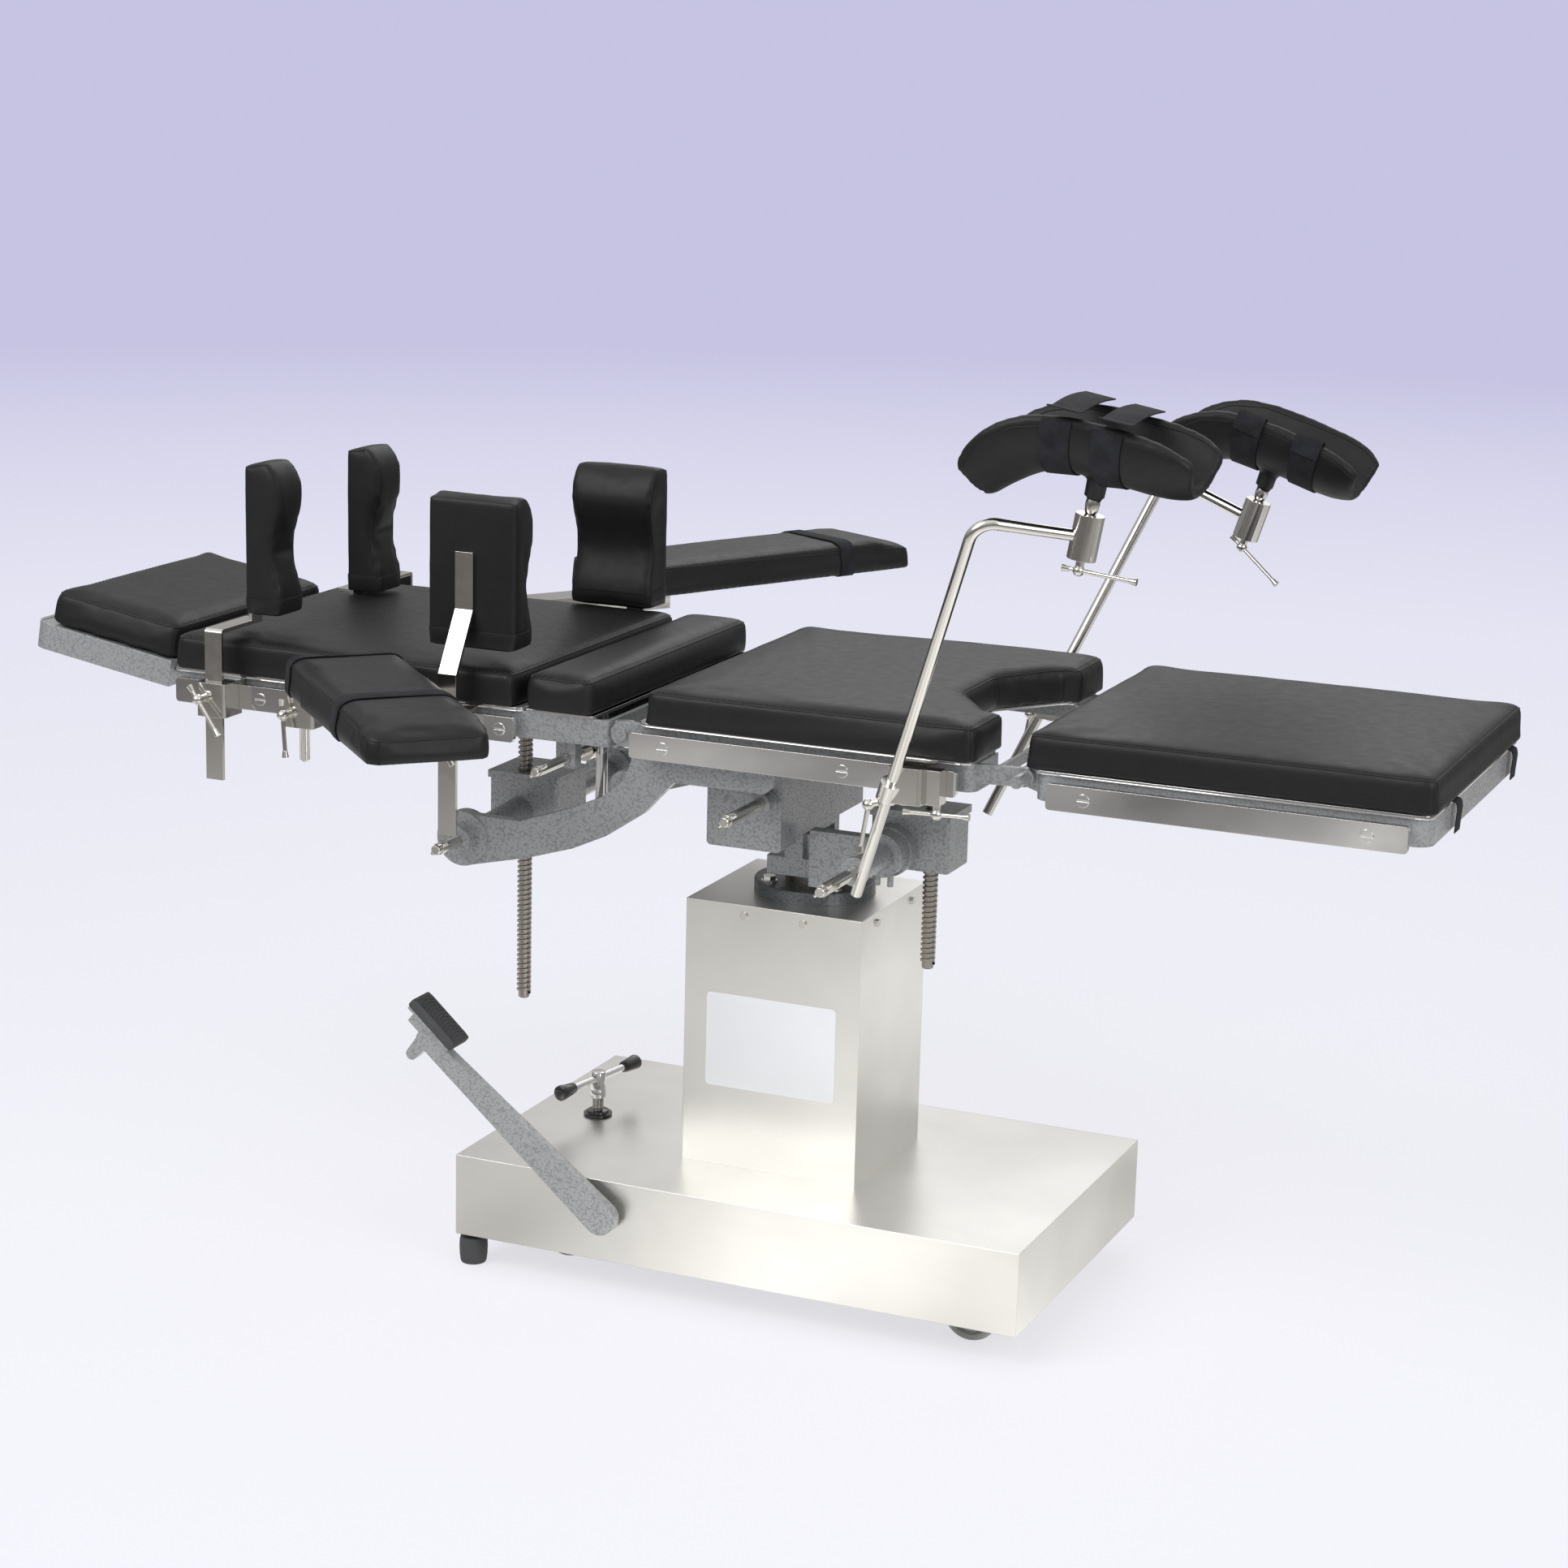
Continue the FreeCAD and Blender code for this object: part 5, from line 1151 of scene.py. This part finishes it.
@dataclass
class Base:
    """Rubber feet, wheels, brake knobs, label plate and the pedal's tread."""

    foot: tuple[float, float] = (-386.0, 220.0)
    brake: tuple[float, float, float] = (-306.0, -6.0, 211.0)
    bar_turn: float = 10.0
    pad_centre: tuple[float, float, float] = (-421.5, -262.0, 343.3)
    pad_rise: float = 41.6
    plate_y: float = -115.0
    plate: tuple = ((-93, 268), (93, 268), (93, 397), (-93, 397))
    foot_shape: tuple = ((0.0, 14.5), (0.6, 16.6), (3, 17.8), (12, 18.9), (23, 19.3), (32, 18.9),
                         (37, 17.8), (38, 16.4), (38, 12), (42, 12))
    wheel_half: tuple = ((-14.2, 9), (-14.2, 12), (-9, 14), (-9, 26), (-13.4, 28.5), (-14, 33), (-12, 36),
                         (-8, 37.4))
    wheel_radius: float = 37.5
    wheel_spots: tuple = (("foot", 317.0, 165.0), ("head", -282.0, 136.0))
    knob_shape: tuple = ((57.5, 5.6), (58, 7.4), (60, 8.2), (76, 9.7), (85, 11), (88.5, 10.4), (90, 8.2),
                         (90.4, 4))
    collar_shape: tuple = ((157.3, 19.4), (158, 20), (160.5, 20), (161.2, 19.2), (161.4, 16.4), (164, 15.4),
                           (165, 13.6))
    sleeve_shape: tuple = ((183.2, 9.6), (184, 11), (193, 11), (194, 10.4), (194.4, 10.3), (219, 10.3),
                           (220.4, 9.4), (220.8, 6))
    ring_shape: tuple = ((0, 7), (0.6, 7.7), (1.1, 7.7), (1.7, 7))
    rings: int = 8
    ring_foot: float = 167.0
    ring_pitch: float = 2.0
    pad_half: tuple[float, float] = (42.0, 22.5)
    pad_top: float = 12.6
    ribs: int = 13
    first_rib: float = -34.5
    rib_pitch: float = 5.3
    rib_bow: float = 5.0
    rib_spots: tuple = (-16.5, -13, -9, -4.5, 0, 4.5, 9, 13, 16.5)

    def build(self, shop: Workshop) -> None:
        """Makes each piece of the base that the CAD only blocks out."""
        self.feet(shop)
        self.wheels(shop)
        self.knobs(shop)
        self.label(shop)
        self.tread(shop)

    def feet(self, shop: Workshop) -> None:
        """Makes the two bulging rubber feet."""
        feet = []
        for side in Side:
            feet.append(turned("foot", self.foot_shape, moved(self.foot[0], side.value * self.foot[1])))
        shop.fix(joined("standing_feet", feet), "foot_bar", Finish.RUBBER, ["rubber_feet"])

    def wheels(self, shop: Workshop) -> None:
        """Makes the four wheels with hub, recessed web and rounded tread."""
        shape = [*self.wheel_half, *((-z, r) for z, r in reversed(self.wheel_half))]
        for word, x, y in self.wheel_spots:
            for side in Side:
                name = f"{word}_{side.word}"
                place = facing(mm(x, side.value * y, self.wheel_radius), Vector((0, 1, 0)))
                wheel = turned("tyre_" + name, shape, place, 56)
                shop.fix(wheel, f"{word}_wheel_{side.word}", Finish.WHEEL, ["wheel_" + name])

    def knobs(self, shop: Workshop) -> None:
        """Makes the brake bar's tapered knobs, the stepped collar and the stem's thread."""
        x, y, z = self.brake
        a = math.radians(self.bar_turn)
        out = Vector((math.sin(a), math.cos(a), 0))
        parts = [turned("knob", self.knob_shape, facing(mm(x, y, z), out * side)) for side in (-1, 1)]
        parts.append(turned("collar", self.collar_shape, moved(x, y)))
        shop.fix(joined("brake_grips", parts), "brake", Finish.KNOB, ["brake_knobs"])
        sleeve = turned("brake_sleeve", self.sleeve_shape, moved(x, y))
        shop.fix(sleeve, "brake", Finish.CHROME)
        rings = []
        for number in range(self.rings):
            foot = self.ring_foot + self.ring_pitch * number
            rings.append(turned("ring", [(foot + h, r) for h, r in self.ring_shape], moved(x, y), 32))
        shop.fix(joined("brake_stem_thread", rings), "brake", Finish.STEEL)

    def label(self, shop: Workshop) -> None:
        """Makes the blank plate on the column."""
        ring = rounded(self.plate, 7)
        points = [mm(x, self.plate_y, z) for x, z in ring]
        plate = raw_mesh("column_plate", points, [], [tuple(range(len(points)))])
        start_edit(plate)
        bpy.ops.mesh.extrude_region_move(TRANSFORM_OT_translate={"value": (0, -1.0 * MM, 0)})
        bpy.ops.mesh.select_all(action="SELECT")
        bpy.ops.mesh.remove_doubles(threshold=0.001 * MM)
        bpy.ops.mesh.normals_make_consistent(inside=False)
        end_edit()
        modify(plate, "BEVEL", width=0.35 * MM, segments=2, limit_method="ANGLE")
        shop.fix(smooth(plate), "base", Finish.PLATE)

    def tread(self, shop: Workshop) -> None:
        """Makes the pedal's rubber pad with its curved ribs."""
        rise = math.radians(self.pad_rise)
        out = Vector((-math.cos(rise), 0, math.sin(rise)))
        up = Vector((math.sin(rise), 0, math.cos(rise)))
        turn = Matrix((out, up.cross(out), up)).transposed().to_4x4()
        place = moved(*self.pad_centre) @ turn
        x, y = self.pad_half
        base = block("pedal_tread", mm(-x, -y, 0), mm(x, y, self.pad_top), 3.4, 4, place)
        lines = []
        for k in range(self.ribs):
            start = self.first_rib + self.rib_pitch * k
            lines.append([place @ mm(start + self.rib_bow * (1 - (v / self.rib_spots[-1]) ** 2), v,
                                     self.pad_top + 0.1) for v in self.rib_spots])
        ribs = tube("ribs", lines, 1.25)
        edge = [place @ mm(u, v, self.pad_top - 0.1) for u, v in rounded(rectangle(-37.5, 37.5, 19.0), 5)]
        whole = joined("pedal_tread", [base, ribs, tube("border", [edge], 1.2, True)])
        shop.fix(whole, "pedal", Finish.RUBBER, ["pedal_pad"])


# Stage


@dataclass(frozen=True)
class Studio:
    """Floor, world, lamps and the camera at the photograph's viewing angle."""

    eye: tuple[float, float, float] = (1737.0, -4149.5, 1748.9)
    azimuth: float = 23.17
    elevation: float = 13.54
    roll: float = 1.46
    focal_px: float = 4286.54
    frame_px: float = 1932.0
    sensor: float = 36.0
    glow: float = 0.7
    boxes: tuple = (("key", (-1.6, -3.2, 3.6), (0, 0, 0.75), 2.8, 105.0),
                    ("fill", (3.6, -1.6, 2.2), (0.1, 0, 0.7), 2.4, 55.0),
                    ("back", (-0.6, 3.4, 3.2), (0, 0, 0.8), 2.6, 26.0))
    sky_light: tuple = (0.97, 0.98, 1.0, 1)
    sky_strength: float = 0.5
    haze: tuple = (0.564, 0.552, 0.760)
    high_haze: tuple = (0.54, 0.53, 0.745)
    dim: tuple = (0.26, 0.255, 0.25)
    ceiling: tuple = (0.92, 0.92, 0.92)
    floor_white: tuple = (0.95, 0.95, 1.0)
    # Painted reflection: the colours the floor glows with for glossy rays, near the table and far off.
    floor_shine: tuple = (0.88, 0.87, 0.85)
    floor_dim: tuple = (0.2, 0.19, 0.185)
    floor_radius: float = 90.0
    floor_level: float = -0.6

    def build(self) -> None:
        """Makes camera, lamps, world and floor."""
        self.camera()
        self.lamps()
        self.world()
        self.floor()

    def camera(self) -> None:
        """Makes the scene's camera."""
        data = bpy.data.cameras.new("camera")
        data.sensor_width = self.sensor
        data.lens = self.focal_px / self.frame_px * self.sensor
        data.clip_start, data.clip_end = 0.1, 100.0
        camera = linked("camera", data)
        a, e, r = (math.radians(v) for v in (self.azimuth, self.elevation, self.roll))
        back = Vector((math.sin(a) * math.cos(e), -math.cos(a) * math.cos(e), math.sin(e)))
        right = Vector((math.cos(a), math.sin(a), 0))
        up = back.cross(right)
        across = right * math.cos(r) + up * math.sin(r)
        above = up * math.cos(r) - right * math.sin(r)
        turn = Matrix((across, above, back)).transposed().to_4x4()
        camera.matrix_world = moved(*self.eye) @ turn
        bpy.context.scene.camera = camera

    def lamps(self) -> None:
        """Makes a large key box overhead in front, a fill box and a back box."""
        for name, where, aim, size, watts in self.boxes:
            data = bpy.data.lights.new(name, "AREA")
            data.shape = "SQUARE"
            data.size = size
            data.energy = watts
            lamp = linked(name, data)
            lamp.location = where
            lamp.rotation_euler = (Vector(aim) - Vector(where)).to_track_quat("-Z", "Y").to_euler()

    def world(self) -> None:
        """Makes a pale sky that lights softly and shows pale to camera and metal."""
        world = bpy.data.worlds.new("studio")
        bpy.context.scene.world = world
        t = Tree(world)
        height = t.put("SeparateXYZ", Vector=t.coords["Generated"]).outputs["Z"]
        light = t.nodes["Background"]
        t.set(light, "Color", self.sky_light)
        t.set(light, "Strength", self.sky_strength)
        seen = t.between(height, self.haze, self.high_haze, 0.0, 0.6)
        mirrored = t.between(height, self.dim, self.ceiling, 0.0, 0.8)
        t.per_ray(light.outputs[0], "Background", (("Is Glossy Ray", mirrored, 1.0),
                                                   ("Is Transmission Ray", mirrored, 1.0),
                                                   ("Is Camera Ray", seen, 1.0)))

    @staticmethod
    def fade(tree: Tree, length: bpy.types.NodeSocket, near: tuple, far: tuple, start: float,
             end: float) -> bpy.types.NodeSocket:
        """Returns a colour that changes with the distance from the table, in metres."""
        return tree.between(tree.span(length, 0.0, 1.0, start, end), near, far, 0.0, 1.0)

    def floor(self) -> None:
        """Makes a wide pale floor that grows bluer with distance, and that glows for glossy rays with a
        painted reflection, darker further off and in noisy patches.
        """
        bpy.ops.object.select_all(action="DESELECT")
        bpy.ops.mesh.primitive_circle_add(vertices=128, radius=self.floor_radius, fill_type="NGON",
                                          location=(0, 0, self.floor_level * MM))
        floor = bpy.context.object
        floor.name = "floor"
        t = Tree(bpy.data.materials.new("floor_paint"))
        length = t.put("VectorMath", {"operation": "LENGTH"}, Vector=t.place).outputs["Value"]
        seen = self.fade(t, length, self.floor_white, self.haze, 0.5, 11.0)
        # Painted reflection: glossy and transmission rays see the floor glow pale near the table and dark
        # further off, broken into noisy darker and lighter patches, so chrome and steel show darkened
        # painted reflections.
        plain = self.fade(t, length, self.floor_shine, self.floor_dim, 1.7, 4.2)
        painted_reflection_patches = t.span(t.noise(t.scaled(1.0, 0.35, 1.0), 1.7, 2.0), 0.45, 1.5, 0.35, 0.65)
        scaled = t.put("VectorMath", {"operation": "SCALE"}, Vector=plain, Scale=painted_reflection_patches)
        mirrored = scaled.outputs["Vector"]
        t.finish(Base_Color=seen, Roughness=0.8, Specular_IOR_Level=0.1)
        share = t.span(length, self.glow, 1.0, 1.0, 5.0)
        t.per_ray(t.shader.outputs[0], "Emission", (("Is Camera Ray", seen, share),
                                                    ("Is Glossy Ray", mirrored, 1.0),
                                                    ("Is Transmission Ray", mirrored, 1.0)))
        floor.data.materials.append(t.owner)


@dataclass
class OperatingTable:
    """The whole dressed table."""

    shop: Workshop

    def build(self) -> None:
        """Dresses the CAD nodes and adds every piece."""
        self.shop.dress_nodes()
        Base().build(self.shop)
        LeadScrew("foot_lead_screw", "foot_screw", 186, -30, 446, 730, 30).build(self.shop)
        LeadScrew("back_lead_screw", "back_screw", -402, -48, 326, 724, 15).build(self.shop)
        TableTop().build(self.shop)
        for pad in (SupportPad("shoulder_pad_near", "shoulder_near", (-731.7, -198, 861), 0, 62, 207),
                    SupportPad("shoulder_pad_far", "shoulder_far", (-766.7, 129, 839), 0, 62, 207),
                    SupportPad("side_pad_near", "side_near", (-384, -237.7, 852), 90, 127, 200),
                    SupportPad("side_pad_far", "side_far", (-400, 255.7, 835), -90, 127, 200)):
            pad.build(self.shop)
        ArmBoard(Side.NEAR, (-533, -316), (0.700, -0.714), 440, 798, (24.0, 282.0)).build(self.shop)
        ArmBoard(Side.FAR, (-512, 386), (0.46, 0.888), 552, 813, (418.0,)).build(self.shop)
        Boot(Side.NEAR, (478, -335, 1090), 9.6, (-40.0, 22.0), True).build(self.shop)
        Boot(Side.FAR, (479, 371, 1013), 17.0, (-31.0, 52.0), False).build(self.shop)


def corners(box: tuple[Vector, Vector]) -> list[list[float]]:
    """Returns a box's two corners as plain lists of numbers."""
    return [list(corner) for corner in box]


def main() -> None:
    """Loads the frame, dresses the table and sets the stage."""
    logging.basicConfig(level=logging.INFO, format="%(message)s")
    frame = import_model()
    bpy.context.scene.view_settings.view_transform = "Standard"
    Studio().build()
    OperatingTable(Workshop(frame)).build()
    bpy.ops.object.select_all(action="DESELECT")


if __name__ == "__main__":
    main()
